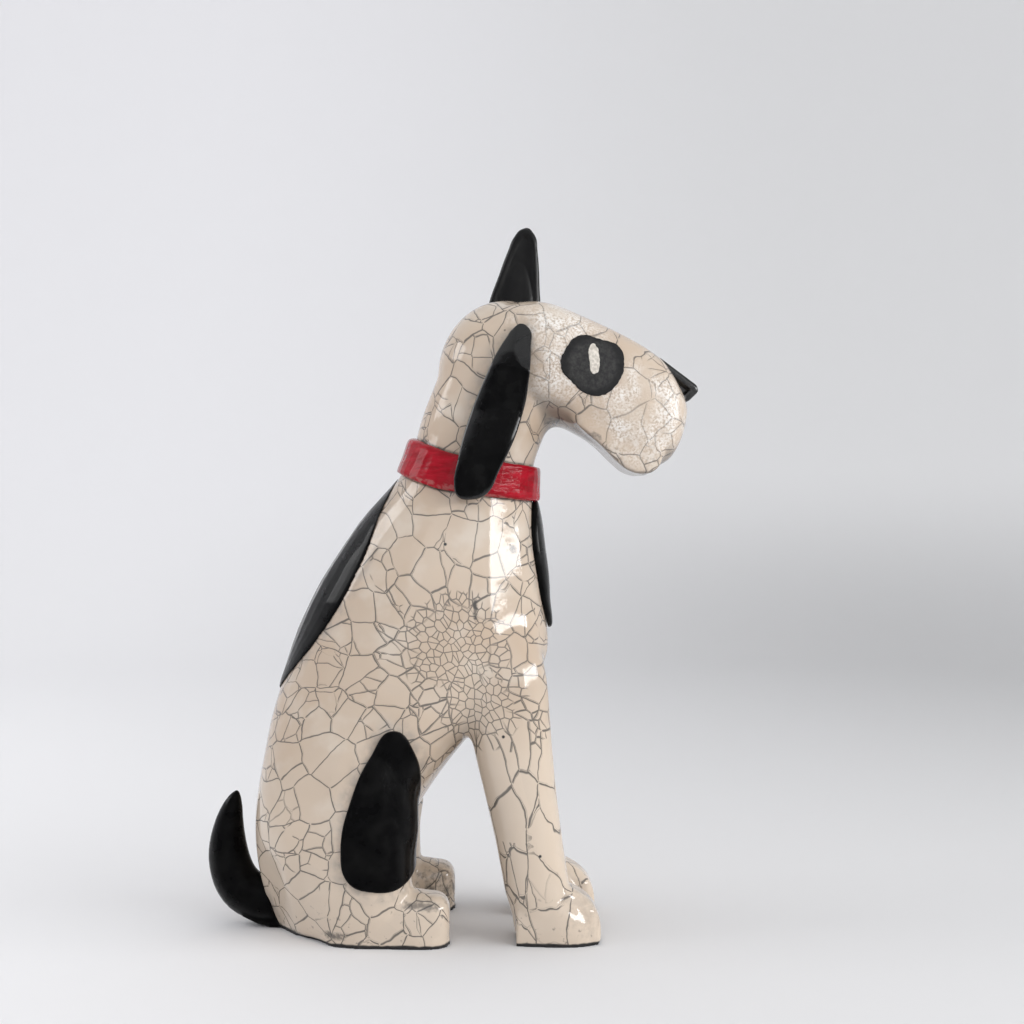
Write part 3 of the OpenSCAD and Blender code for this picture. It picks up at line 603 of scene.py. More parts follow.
tail = copy_nodes("curled_tail", "tail")
corners = [(x, -root_half, z) for x, z in tail_root]
join(tail, prism("tail_root", corners, (0, 2 * root_half, 0), rounded=False))
recast(tail, voxel=0.7 * mm, rounds=16)
apply_modifier(tail, "DISPLACE", strength=tail_filling, mid_level=0)
with editing(tail):
    bpy.ops.transform.translate(value=(tail_press, 0, 0))
saddle = copy_nodes("back_patch", "saddle_pad")
recast(saddle, voxel=0.6 * mm, rounds=8)
bib = copy_nodes("chest_patch", "chest_pad")
recast(bib, voxel=0.6 * mm, rounds=10)
for seed, piece in enumerate((right_ear, left_ear, tail, saddle, bib)):
    wobble(piece, size=16 * mm, depth=0.35 * mm, seed=seed + 1.3)
    print(piece.name, len(piece.data.polygons), "faces")
stand(tail)

# %% [markdown]
# Layers that follow the glaze
#
# The patch on the thigh and the eyes are thin layers on a curved skin. Drawing the outline as a smooth curve
# seen from the side, and cutting that shape out of a copy of the skin that is a little thicker, gives a layer
# of even thickness that fits the curve of the body exactly.

# %% A helper that cuts an outline out of a thickened skin
rag_size = 1.6 * mm
rag_seed = 1
noise.seed_set(rag_seed)


def layer(called, skin_piece, outline, lift, depth, voxel, rounds, sink=1.2 * mm, ragged=0):
    """A layer on a skin: outline is (x, z) in mm seen from the right, depth the range along y."""
    corners = [(x, depth[0], z) for x, z in outline]
    cutter = prism(called + "_outline", corners, (0, depth[1] - depth[0], 0))
    for vertex in cutter.data.vertices:
        swing = noise.noise_vector(Vector((vertex.co.x, 0, vertex.co.z)) / rag_size) * ragged
        vertex.co += Vector((swing.x, 0, swing.z))
    piece = copy_piece(skin_piece, called)
    inner = copy_piece(skin_piece, called + "_inner")
    for shell, move in ((piece, lift), (inner, -sink)):
        apply_modifier(shell, "DISPLACE", strength=move, mid_level=0)
    apply_modifier(piece, "BOOLEAN", operation="INTERSECT", object=cutter, solver="MANIFOLD")
    apply_modifier(piece, "BOOLEAN", operation="DIFFERENCE", object=inner, solver="MANIFOLD")
    bpy.data.objects.remove(cutter)
    bpy.data.objects.remove(inner)
    recast(piece, voxel=voxel, rounds=rounds)
    print(called, len(piece.data.polygons), "faces")
    return piece

# %% [markdown]
# The patch on the thigh
#
# A leaf of black clay lies on the right thigh, about 2 mm proud, with a soft edge. The range in depth keeps
# the outline from cutting a second patch out of the other thigh.

# %% The patch on the right thigh
thigh_outline = [
    (-26.3, 103), (-37, 91), (-45.5, 72), (-50.3, 48), (-47, 33.5), (-36, 28.5),
    (-21, 30.5), (-14.6, 43), (-14, 68), (-16.5, 92),
]
thigh_patch = layer(
    "thigh_patch", body, thigh_outline, lift=2.2 * mm, depth=(-80, -33), voxel=0.6 * mm, rounds=14
)

# %% [markdown]
# The eyes
#
# Each eye is a disc of dark slip, painted thinly on the head, with an upright slit left pale. Both are layers
# that stand less than a millimetre proud, and a little noise on their outlines gives the ragged edge that a
# brush leaves.

# %% The eyes and their slits
eye_outline = [
    (62.2, 291), (72, 289.6), (81.5, 286), (83.5, 276.5), (80.4, 268), (72.8, 262.2),
    (66, 262.6), (58.3, 268.5), (53, 275.5), (55.5, 284.5),
]
glint_outline = [
    (68.4, 287.2), (70.4, 285.8), (71.3, 282), (71.3, 275.2), (69.8, 272.4), (67.6, 273.2), (66.9, 277.6),
    (66.3, 281.5), (66.6, 285),
]
eye_look = {"lift": 0.45 * mm, "voxel": 0.3 * mm, "rounds": 3, "ragged": 0.5 * mm}
slit_look = {"lift": 0.62 * mm, "voxel": 0.25 * mm, "rounds": 3, "ragged": 0.4 * mm}
eyes, glints = [], []
for side, depth in (("right", (-60, -10)), ("left", (10, 60))):
    eyes.append(layer(side + "_eye_patch", head, eye_outline, depth=depth, **eye_look))
    glints.append(layer(side + "_eye_slit", head, glint_outline, depth=depth, **slit_look))

# %% [markdown]
# The collar
#
# The collar is a flat strip of clay pressed round the neck, with edges that were rounded with a wet finger.
# Its construction piece is recast and relaxed, and noise gives it the waves of a strip laid by hand.

# %% Round the collar
collar = copy_nodes("collar_strip", "collar")
recast(collar, voxel=0.6 * mm, rounds=10)
wobble(collar, size=11 * mm, depth=0.4 * mm, seed=5.1)
print("collar", len(collar.data.polygons), "faces")

# %% [markdown]
# The nose
#
# The nose is a wedge of clay, narrower at its tip, with a scooped nostril in each side. It is extruded from
# its side view and bevelled, and two insets of its side faces, the second one pushed inwards, scoop the
# nostrils.

# %% Shape the nose
nose_outline = [(102.6, 282), (121, 268.6), (121.8, 265.6), (116.4, 260.4), (107, 260.4), (99, 276)]
nose_half = 13
nose_tip_start = 114 * mm
nose_tip_width = (1, 0.8, 1)
nose_round = 1.3 * mm
nostril_area = 60 * mm * mm
nostril_rim = 2.1 * mm
nostril_slope = 1.2 * mm
nostril_depth = 2.6 * mm
sideways = 0.8


def select_faces(piece, test):
    """In edit mode, selects the faces of a piece that pass a test."""
    bpy.ops.object.mode_set(mode="OBJECT")
    for face in piece.data.polygons:
        face.select = test(face)
    bpy.ops.object.mode_set(mode="EDIT")


corners = [(x, -nose_half, z) for x, z in nose_outline]
nose = prism("wedge_nose", corners, (0, 2 * nose_half, 0), rounded=False)
with editing(nose):
    select_points(nose, lambda point: point.x > nose_tip_start)
    bpy.ops.transform.resize(value=nose_tip_width, center_override=(0, 0, 0))
    bpy.ops.mesh.select_mode(type="FACE")
    select_faces(nose, lambda face: abs(face.normal.y) > sideways)
    bpy.ops.mesh.bevel(offset=nose_round, segments=2, affect="EDGES")
    select_faces(nose, lambda face: abs(face.normal.y) > sideways and face.area > nostril_area)
    bpy.ops.mesh.inset(thickness=nostril_rim, depth=0)
    bpy.ops.mesh.inset(thickness=nostril_slope, depth=-nostril_depth)
recast(nose, voxel=0.4 * mm, rounds=3)
print("nose", len(nose.data.polygons), "faces")

# %% [markdown]
# Smoke round the bare clay
#
# Where bare clay meets glaze, smoke creeps a few millimetres under the edge of the glaze and greys it, and a
# dark line of it stays beside the collar. The distance of each point of the skin from these pieces is stored
# on the mesh as an attribute, and the glaze reads it, so that the marks follow every outline by themselves.

# %% Store how near the bare clay and the collar are
smoke_reach = 9 * mm
seam_reach = 2.4 * mm
bare_tree = tree_of(right_ear, left_ear, tail, saddle, bib, thigh_patch, nose)
collar_tree = tree_of(collar)


def store_nearness(piece, called, tree, reach):
    """Writes 1 beside some pieces, fading to 0 a little way off, as an attribute of the mesh."""
    attribute = piece.data.attributes.new(called, "FLOAT", "POINT")
    for vertex, value in zip(piece.data.vertices, attribute.data):
        value.value = fade(tree.find_nearest(vertex.co)[3], 0, reach)


for piece in (body, head):
    store_nearness(piece, "smoke", bare_tree, smoke_reach)
    store_nearness(piece, "seam", collar_tree, seam_reach)
    print(piece.name, "knows its bare clay and its collar")

# %% [markdown]
# Building finishes from nodes
#
# A finish is a small graph of nodes. These helpers add a node, and link or set its inputs, in one line each,
# so that the recipe of a finish reads from top to bottom.

# %% Helpers for nodes and links
def feed(tree, socket, value):
    """Links a socket from another node's output, or sets its value."""
    if isinstance(value, bpy.types.NodeSocket):
        tree.links.new(value, socket)
    else:
        socket.default_value = value


def add(tree, kind, inputs=None, **settings):
    """One node with its settings and inputs."""
    made = tree.nodes.new("ShaderNode" + kind)
    for name, value in settings.items():
        setattr(made, name, value)
    for name, value in (inputs or {}).items():
        feed(tree, made.inputs[name], value)
    return made


def sums(tree, how, *values):
    """The result of a Math node."""
    made = add(tree, "Math", operation=how)
    for socket, value in zip(made.inputs, values):
        feed(tree, socket, value)
    return made.outputs[0]


def times(tree, first, second):
    """The product of two values, such as a mask and its strength."""
    return sums(tree, "MULTIPLY", first, second)


def vectors(tree, how, *values):
    """The result of a Vector Math node."""
    made = add(tree, "VectorMath", operation=how)
    for socket, value in zip(made.inputs, values):
        feed(tree, socket, value)
    return made.outputs["Value" if how in ("LENGTH", "DISTANCE", "DOT_PRODUCT") else "Vector"]


def stretch(tree, vector, factor):
    """A vector times one number."""
    made = add(tree, "VectorMath", operation="SCALE")
    feed(tree, made.inputs[0], vector)
    feed(tree, made.inputs["Scale"], factor)
    return made.outputs["Vector"]


def split(tree, vector):
    """The X, Y and Z of a vector."""
    return add(tree, "SeparateXYZ", {0: vector}).outputs


def combine(tree, **parts):
    """A vector from its X, Y and Z."""
    return add(tree, "CombineXYZ", parts).outputs[0]

# %% Helpers for masks, colours and noise
def ramp(tree, value, start, end, low=0, high=1):
    """A smooth step from low at start to high at end."""
    inputs = {"Value": value, "From Min": start, "From Max": end, "To Min": low, "To Max": high}
    return add(tree, "MapRange", inputs, interpolation_type="SMOOTHSTEP").outputs["Result"]


def blend(tree, share, first, second):
    """A colour between two colours."""
    made = add(tree, "Mix", data_type="RGBA")
    for index, value in ((0, share), (6, first), (7, second)):
        feed(tree, made.inputs[index], value)
    return made.outputs[2]


def cloud(tree, place, size, detail=2, roughness=0.5):
    """A Noise node with marks of a given size on the surface."""
    inputs = {"Vector": place, "Scale": 1 / size, "Detail": detail, "Roughness": roughness}
    return add(tree, "TexNoise", inputs)


def grain(tree, place, size, detail=2, roughness=0.5):
    """Noise of a given size, as values round 0.5."""
    return cloud(tree, place, size, detail, roughness).outputs[0]

# %% Helpers for groups
def new_group(name, inputs, outputs):
    """An empty node group with its sockets: returns the tree and its input and output nodes."""
    tree = bpy.data.node_groups.new(name, "ShaderNodeTree")
    for direction, sockets in (("INPUT", inputs), ("OUTPUT", outputs)):
        for label, kind in sockets.items():
            tree.interface.new_socket(label, in_out=direction, socket_type="NodeSocket" + kind)
    return tree, tree.nodes.new("NodeGroupInput"), tree.nodes.new("NodeGroupOutput")


def use_group(tree, group, **inputs):
    """Places a group in a graph with its own values."""
    made = tree.nodes.new("ShaderNodeGroup")
    made.node_tree = group
    for name, value in inputs.items():
        feed(tree, made.inputs[name.capitalize()], value)
    return made

# %% [markdown]
# Cracks
#
# Glaze cracks in generations: long cracks come first, and each later crack starts and ends on an older one.
# A Voronoi texture gives random cells, and their edges are one generation. Shifting the next, finer texture
# by a random amount in each cell makes its edges stop at the older cracks, as real ones do. Cells in space
# cut the surface at all angles, which would draw some lines too wide, so the distance to an edge is divided
# by how fast it grows along the surface.

# %% One generation of cracks, as a group
surface_step = 0.03
surface_lean = (0.36, 0.48, 0.8)
least_growth = 0.2
shift_length = 17
line_core = 0.35


def growth_on_surface(tree, spot, here, edge):
    """How fast the distance to an edge grows along the surface, from two small steps on it."""
    normal = add(tree, "NewGeometry").outputs["Normal"]
    across = vectors(tree, "NORMALIZE", vectors(tree, "CROSS_PRODUCT", normal, surface_lean))
    along = vectors(tree, "CROSS_PRODUCT", normal, across)
    squares = []
    for direction in (across, along):
        aside = edge(vectors(tree, "ADD", spot, stretch(tree, direction, surface_step)))
        squares.append(sums(tree, "POWER", sums(tree, "SUBTRACT", aside, here), 2))
    return sums(tree, "DIVIDE", sums(tree, "SQRT", sums(tree, "ADD", *squares)), surface_step)


def crack_generation():
    """Lines between random cells in space, and a random value for each cell."""
    inputs = {"Place": "Vector", "Shift": "Vector", "Cell": "Float", "Width": "Float"}
    tree, given, result = new_group("crack generation", inputs, {"Line": "Float", "Random": "Vector"})
    size = given.outputs["Cell"]
    spread = stretch(tree, given.outputs["Place"], sums(tree, "DIVIDE", 1, size))
    spot = vectors(tree, "ADD", spread, stretch(tree, given.outputs["Shift"], shift_length))

    def edge(vector):
        cells = {"Vector": vector, "Scale": 1}
        return add(tree, "TexVoronoi", cells, feature="DISTANCE_TO_EDGE").outputs["Distance"]

    here = edge(spot)
    steep = growth_on_surface(tree, spot, here, edge)
    reach = sums(tree, "DIVIDE", here, sums(tree, "MAXIMUM", steep, least_growth))
    seen = ramp(tree, steep, 0.3, 0.5)
    half = times(tree, given.outputs["Width"], 0.5)
    line = ramp(tree, times(tree, reach, size), half, times(tree, half, line_core))
    cell = add(tree, "TexVoronoi", {"Vector": spot, "Scale": 1})
    feed(tree, result.inputs["Line"], times(tree, line, seen))
    feed(tree, result.inputs["Random"], cell.outputs["Color"])
    return tree


crack_group = crack_generation()
print("group:", crack_group.name, len(crack_group.nodes), "nodes")

# %% [markdown]
# Where cracks crowd
#
# On the real dog the cracks crowd together on the shoulder, run long and sparse down the forelegs, and bend a
# little everywhere. Instead of other textures for each place, the space that the texture reads is changed: it
# is squeezed along the legs, bent by noise, and pulled apart round shoulder and elbow.

# %% Bend the space that the cracks are drawn in
shoulder = Vector((2, 0, 143)) * mm
elbow = Vector((16, 0, 113)) * mm
crowds = ((shoulder, 26 * mm), (elbow, 18 * mm))
crowd_width = 18 * mm
leg_root = 105 * mm
leg_squeeze = 0.55


def on_foreleg(tree, parts):
    """1 on the forelegs, fading out towards the belly and the chest."""
    return times(tree, ramp(tree, parts["X"], -5 * mm, 15 * mm), ramp(tree, parts["Z"], 112 * mm, 80 * mm))


def warped(tree, place, size, amount):
    """A swing by noise, which makes straight cell edges slightly curved."""
    swing = vectors(tree, "SUBTRACT", cloud(tree, place, size, 1).outputs["Color"], (0.5, 0.5, 0.5))
    return stretch(tree, swing, amount)


def bent_space(tree, place, parts, leg):
    """The place, squeezed along the forelegs and bent by large and small noise."""
    drop = times(tree, sums(tree, "SUBTRACT", parts["Z"], leg_root), leg)
    height = sums(tree, "SUBTRACT", parts["Z"], times(tree, drop, leg_squeeze))
    curved = combine(tree, X=parts["X"], Y=parts["Y"], Z=height)
    curved = vectors(tree, "ADD", curved, warped(tree, place, 24 * mm, 9 * mm))
    return vectors(tree, "ADD", curved, warped(tree, place, 6 * mm, 1.8 * mm))


def crowded_space(tree, curved, parts):
    """The bent place, pulled apart round shoulder and elbow, and how far the nearer of them is."""
    flat = combine(tree, X=parts["X"], Z=parts["Z"])
    distances = []
    for middle, pull in crowds:
        away = vectors(tree, "SUBTRACT", flat, middle)
        distances.append(vectors(tree, "LENGTH", away))
        share = sums(tree, "DIVIDE", pull, sums(tree, "ADD", distances[-1], crowd_width))
        curved = vectors(tree, "ADD", curved, stretch(tree, away, share))
    near = sums(tree, "MINIMUM", distances[0], sums(tree, "ADD", distances[1], 5 * mm))
    return curved, near

# %% [markdown]
# The whole net
#
# Two generations of cracks cover the dog, and the second one appears only in some cells of the first. On
# the shoulder a flat, fine net takes over, because there the real cracks lie close like scales. The group
# puts out the lines, and a tone for each cell that tints the glaze a little.

# %% The whole net of cracks, as a group
first_cell = 20 * mm
second_cell = 13.5 * mm
fine_cell = 7 * mm
fine_strength = 0.85


def fine_net(tree, curved):
    """A flat net of small cells, seen from the side."""
    spot = split(tree, curved)
    side_on = combine(tree, X=spot["X"], Y=spot["Z"])
    small = {"Vector": stretch(tree, side_on, 1 / fine_cell), "Scale": 1}
    cells = add(tree, "TexVoronoi", small, feature="DISTANCE_TO_EDGE", voronoi_dimensions="2D")
    return ramp(tree, times(tree, cells.outputs["Distance"], fine_cell), 0.75 * mm, 0.25 * mm)


def fewer_cracks(tree, parts, leg):
    """How much rarer later cracks are, on the forelegs and on the hind feet."""
    calm_leg = times(tree, leg, ramp(tree, parts["Z"], 34 * mm, 58 * mm, -0.35, 0.5))
    low = ramp(tree, parts["Z"], 48 * mm, 26 * mm, 0, 0.3)
    calm_foot = times(tree, low, ramp(tree, parts["X"], 20 * mm, 10 * mm))
    return sums(tree, "ADD", calm_leg, calm_foot)


def crackle_net():
    """Cracks in generations, finest on the shoulder, long and sparse on the forelegs."""
    tree, given, result = new_group("crackle net", {"Place": "Vector"}, {"Line": "Float", "Tone": "Float"})
    place = given.outputs["Place"]
    parts = split(tree, place)
    leg = on_foreleg(tree, parts)
    curved, near = crowded_space(tree, bent_space(tree, place, parts, leg), parts)

    thick = sums(tree, "ADD", 0.9 * mm, times(tree, grain(tree, place, 15 * mm), 1.3 * mm))
    thick = times(tree, thick, ramp(tree, near, 60 * mm, 15 * mm, 1, 1.5))
    first = use_group(tree, crack_group, place=curved, cell=first_cell, width=thick).outputs
    second = use_group(
        tree, crack_group, place=curved, shift=first["Random"], cell=second_cell,
        width=times(tree, thick, 0.85),
    ).outputs
    drawn = split(tree, first["Random"])["X"]

    ragged = sums(tree, "ADD", near, times(tree, drawn, 10 * mm))
    core = ramp(tree, ragged, 29 * mm, 27 * mm)
    many = sums(tree, "SUBTRACT", drawn, fewer_cracks(tree, parts, leg))
    unbroken = ramp(tree, grain(tree, place, 16 * mm, 1), 0.33, 0.38)
    later = times(tree, ramp(tree, many, 0.52, 0.54), unbroken)
    open_field = times(tree, later, sums(tree, "SUBTRACT", 1, core))
    line = times(tree, first["Line"], ramp(tree, near, 14 * mm, 22 * mm))
    line = sums(tree, "MAXIMUM", line, times(tree, second["Line"], open_field))
    fine = times(tree, fine_net(tree, curved), times(tree, core, fine_strength))
    feed(tree, result.inputs["Line"], sums(tree, "MAXIMUM", line, fine))
    feed(tree, result.inputs["Tone"], split(tree, second["Random"])["X"])
    return tree


net_group = crackle_net()
print("group:", net_group.name, len(net_group.nodes), "nodes")

# %% [markdown]
# The colours of the glaze
#
# The glaze is cream white, a little warmer where it lies thick and milky in clouds. The feet and the forelegs
# get painted light, a lighter cream. A painted texture would be tied to one mesh and one side. Large soft
# noise on the object's own coordinates gives the same unevenness all round.

# %% The colours of the glaze
cream = (0.585, 0.48, 0.38, 1)
warm_cream = (0.53, 0.415, 0.315, 1)
milk = (0.655, 0.58, 0.495, 1)
painted_light_cream = (0.65, 0.545, 0.44, 1)
dull_cream = (0.5, 0.43, 0.36, 1)


def glaze_colours(tree, place, parts, tone):
    """Cream, warmer where thick, milky in clouds, painted light on feet and forelegs, duller in some cells.
    """
    thick = ramp(tree, grain(tree, place, 45 * mm), 0.35, 0.7)
    colour = blend(tree, thick, cream, warm_cream)
    pale = ramp(tree, grain(tree, place, 20 * mm, 3), 0.48, 0.75, 0, 0.8)
    colour = blend(tree, pale, colour, milk)
    # Painted light: feet and forelegs are made lighter in the colour, where the lamps leave them dim.
    foot = ramp(tree, parts["Z"], 95 * mm, 25 * mm, 0, 0.9)
    ahead = times(tree, ramp(tree, parts["X"], 0, 22 * mm), ramp(tree, parts["Z"], 125 * mm, 85 * mm))
    light = sums(tree, "MAXIMUM", foot, times(tree, ahead, 0.85))
    colour = blend(tree, light, colour, painted_light_cream)
    return blend(tree, times(tree, tone, 0.15), colour, dull_cream)

# %% [markdown]
# Orange peel
#
# Round the eye and on the cheek the glaze boiled, and its surface is pitted like fine orange peel, so that
# highlights break into sparkle. Fine noise gives the pits, in two round places that fade out. The same noise
# goes
# into colour, gloss and relief: pale frost with painted sparkle on the tips, painted shade in the pits, and
# bumps.

# %% Pitted places
temple_place = (50 * mm, 0, 285 * mm)
cheek_place = (92 * mm, 0, 254 * mm)
frost_and_sparkle_white = (0.88, 0.87, 0.85, 1)
painted_pit_shade = (0.3, 0.275, 0.25, 1)


def pitted_places(tree, place, parts):
    """Where the glaze is pitted, and the pits themselves."""
    flat = combine(tree, X=parts["X"], Z=parts["Z"])
    temple = vectors(tree, "DISTANCE", flat, temple_place)
    cheek = vectors(tree, "DISTANCE", flat, cheek_place)
    pitted = ramp(tree, sums(tree, "MINIMUM", temple, cheek), 33 * mm, 12 * mm)
    return pitted, grain(tree, place, 1.1 * mm, 3, 0.6)


def sparkle(tree, place, colour, pitted, peel):
    """Pale frost and painted sparkle on the tips of the peel, and painted shade in its pits, in a broken
    veil.
    """
    veil = ramp(tree, grain(tree, place, 13 * mm), 0.3, 0.62)
    frost_and_sparkle_tips = times(tree, pitted, times(tree, veil, ramp(tree, peel, 0.38, 0.6)))
    # Painted sparkle over pale frost on the tips, and painted shade in the pits.
    colour = blend(tree, times(tree, frost_and_sparkle_tips, 0.8), colour, frost_and_sparkle_white)
    pits = times(tree, pitted, times(tree, veil, ramp(tree, peel, 0.46, 0.34)))
    return blend(tree, times(tree, pits, 0.5), colour, painted_pit_shade)

# %% [markdown]
# Smoke marks
#
# Smoke greys the glaze beside bare clay, draws a dark line beside the collar, and leaves soot near the table.
# The underside of the chin gets painted shade. A few large dark marks lie where the photograph shows them:
# most are stains, three below the cheek's lower lip are painted shade, and the one under the rump, where it
# lifts off the table, is bare clay and painted shade together. Each one is a middle, a reach and a strength,
# and noise on the distance gives it a ragged edge.

# %% Smoke, stains and soot
smoke_grey = (0.2, 0.195, 0.19, 1)
seam_brown = (0.04, 0.03, 0.028, 1)
stain_and_shade_black = (0.085, 0.078, 0.072, 1)
chin_painted_shade = (0.1, 0.09, 0.08, 1)
soot_black = (0.09, 0.08, 0.075, 1)
stains_and_shade = [
    ((-55, -38, 6), (9, 30, 3), 0.85),
    # Bare clay and painted shade where the rump lifts off the table.
    ((-84, -20, 1.5), (15, 30, 2.4), 1),
    ((-14, -50, 20.5), (14, 30, 4), 0.7),
    ((-10, 38, 12), (18, 30, 16), 0.85),
    ((99, 0, 230), (7, 30, 5), 0.8),
    ((64, -30, 16), (14, 25, 20), 0.2),
    ((12, -45, 160), (2, 40, 9), 1),
    ((30, -40, 189), (3.6, 40, 5), 1),
    # The next three are painted shade in the gap below the cheek's lower lip.
    ((50.5, -20, 250.5), (8, 30, 2.4), 0.8),
    ((67.5, -20, 242.5), (8, 30, 3), 0.7),
    ((73.5, -20, 236), (7, 30, 3), 0.7),
]


def ragged_spot(tree, place, speckle, middle, reach):
    """A mask with a ragged edge, from its middle and its reach in mm."""
    away = vectors(tree, "SUBTRACT", place, Vector(middle) * mm)
    away = vectors(tree, "DIVIDE", away, Vector(reach) * mm)
    return ramp(tree, sums(tree, "ADD", vectors(tree, "LENGTH", away), speckle), 2, 1.2)


def smoke_marks(tree, place, parts, colour):
    """The glaze greyed beside bare clay, dark beside the collar, with stains and painted shade, painted shade
    under the chin, and soot near the feet.
    """
    smoke = add(tree, "Attribute", attribute_name="smoke").outputs["Fac"]
    seam = add(tree, "Attribute", attribute_name="seam").outputs["Fac"]
    drift = grain(tree, place, 5 * mm, 3)
    greyed = times(tree, smoke, ramp(tree, drift, 0.3, 0.75))
    colour = blend(tree, times(tree, greyed, 0.5), colour, smoke_grey)
    beside = times(tree, ramp(tree, seam, 0.3, 0.9), ramp(tree, drift, 0.3, 0.6, 0.3, 0.9))
    colour = blend(tree, beside, colour, seam_brown)

    speckle = times(tree, grain(tree, place, 3.5 * mm, 4, 0.6), 2.2)
    for middle, reach, strength in stains_and_shade:
        mask = ragged_spot(tree, place, speckle, middle, reach)
        colour = blend(tree, times(tree, mask, strength), colour, stain_and_shade_black)

    # Painted shade: glaze facing down under the muzzle and chin is darkened.
    facing = split(tree, add(tree, "NewGeometry").outputs["Normal"])["Z"]
    chin_shade_mask = times(tree, ramp(tree, facing, -0.35, -0.8), ramp(tree, parts["Z"], 205 * mm, 215 * mm))
    colour = blend(tree, times(tree, chin_shade_mask, 0.6), colour, chin_painted_shade)
    flakes = ramp(tree, grain(tree, place, 4 * mm, 4, 0.6), 0.62, 0.7)
    soot = times(tree, ramp(tree, parts["Z"], 34 * mm, 8 * mm), flakes)
    return blend(tree, times(tree, soot, 0.6), colour, soot_black)

# %% [markdown]
# Crackle glaze
#
# Now the layers are put together from the ground up: the glaze with its colours and its peel, the smoke on
# it, the cracks, the pinholes where bubbles burst, and the bare black edge at the table. The glaze is glossy,
# with a slow wave in its surface that bends the highlights.

# %% Crackle glaze
crack_black = (0.075, 0.07, 0.066, 1)
hole_black = (0.03, 0.03, 0.032, 1)
bare_black = (0.012, 0.011, 0.011, 1)
hole_spacing = 15 * mm


def new_finish(name):
    """An empty material: returns it with its graph, its shader and the place on the object."""
    material = bpy.data.materials.new(name)
    material.use_nodes = True
    tree = material.node_tree
    place = add(tree, "TexCoord").outputs["Object"]
    return material, tree, tree.nodes["Principled BSDF"], place


def relief_on(tree, shader, height, strength, depth):
    """A bump of this depth on the shader's normal."""
    bump = add(tree, "Bump", {"Strength": strength, "Distance": depth, "Height": height})
    feed(tree, shader.inputs["Normal"], bump.outputs[0])


def pinholes(tree, place):
    """Small round holes in the middle of some cells of a coarse net."""
    dots = add(tree, "TexVoronoi", {"Vector": place, "Scale": 1 / hole_spacing})
    chosen = ramp(tree, add(tree, "SeparateColor", {0: dots.outputs["Color"]}).outputs[0], 0.6, 0.62)
    return times(tree, ramp(tree, dots.outputs["Distance"], 0.07, 0.03), chosen)


def bare_edge(tree, place, parts):
    """The soles and the ragged lowest edge, which stay without glaze."""
    ragged = times(tree, grain(tree, place, 6 * mm), 1.6 * mm)
    return ramp(tree, sums(tree, "SUBTRACT", parts["Z"], ragged), 1.5 * mm, 0.6 * mm)


def crackle_glaze():
    """Cream glaze with its net of smoked cracks."""
    material, tree, shader, place = new_finish("crackle_glaze")
    net = use_group(tree, net_group, place=place).outputs
    parts = split(tree, place)
    pitted, peel = pitted_places(tree, place, parts)
    edge = bare_edge(tree, place, parts)

    colour = glaze_colours(tree, place, parts, net["Tone"])
    colour = sparkle(tree, place, colour, pitted, peel)
    colour = smoke_marks(tree, place, parts, colour)
    strength = sums(tree, "SUBTRACT", 0.85, times(tree, pitted, 0.4))
    colour = blend(tree, times(tree, net["Line"], strength), colour, crack_black)
    colour = blend(tree, pinholes(tree, place), colour, hole_black)
    colour = blend(tree, edge, colour, bare_black)
    feed(tree, shader.inputs["Base Color"], colour)

    gloss = sums(tree, "ADD", 0.07, times(tree, pitted, times(tree, peel, 0.3)))
    feed(tree, shader.inputs["Roughness"], sums(tree, "ADD", gloss, times(tree, edge, 0.5)))
    pits = times(tree, peel, sums(tree, "ADD", 0.03, times(tree, pitted, 0.45)))
    wave = times(tree, grain(tree, place, 11 * mm), 0.35)
    relief_on(tree, shader, sums(tree, "ADD", wave, pits), strength=0.35, depth=1 * mm)
    return material


glaze = crackle_glaze()
print("finish:", glaze.name, len(glaze.node_tree.nodes), "nodes")

# %% [markdown]
# Smoked clay
#
# The bare clay is burnished and smoked black: nearly no colour, soft rub marks, a fine grain and a little
# dust. All the black pieces share that grain, so it is one group. They differ in how well they were polished:
# the polish is a coat that grows where the surface turns away, as on a stone that was rubbed by hand.

# %% The grain of smoked clay, as a group
soot_colour = (0.002, 0.002, 0.0022, 1)
dust_colour = (0.006, 0.006, 0.006, 1)


def smoked_grain():
    """Rub marks and a fine grain: their colour, the rub marks alone, and their height."""
    outputs = {"Colour": "Color", "Rub": "Float", "Height": "Float"}
    tree, given, result = new_group("smoked grain", {"Place": "Vector"}, outputs)
    place = given.outputs["Place"]
    rub = grain(tree, place, 9 * mm, 3)
    fine = grain(tree, place, 0.7 * mm)
    dusty = ramp(tree, rub, 0.4, 0.75)
    feed(tree, result.inputs["Colour"], blend(tree, dusty, soot_colour, dust_colour))
    feed(tree, result.inputs["Rub"], rub)
    feed(tree, result.inputs["Height"], sums(tree, "ADD", times(tree, rub, 0.8), times(tree, fine, 0.06)))
    return tree


grain_group = smoked_grain()
print("group:", grain_group.name, len(grain_group.nodes), "nodes")

# %% Four polishes of smoked clay
def smoked_clay(name, shine, smooth, polish, turn=(0.1, 0.45)):
    """Black clay with its grain, and a polish that shows where it turns away."""
    material, tree, shader, place = new_finish(name)
    grained = use_group(tree, grain_group, place=place).outputs
    feed(tree, shader.inputs["Base Color"], grained["Colour"])
    feed(tree, shader.inputs["Roughness"], ramp(tree, grained["Rub"], 0.25, 0.8, smooth, smooth + 0.12))
    shader.inputs["Specular IOR Level"].default_value = shine
    turned = add(tree, "LayerWeight").outputs["Facing"]
    feed(tree, shader.inputs["Coat Weight"], ramp(tree, turned, *turn, 0, polish))
    shader.inputs["Coat Roughness"].default_value = 0.1
    relief_on(tree, shader, grained["Height"], strength=0.3, depth=1 * mm)
    print("finish:", name)
    return material


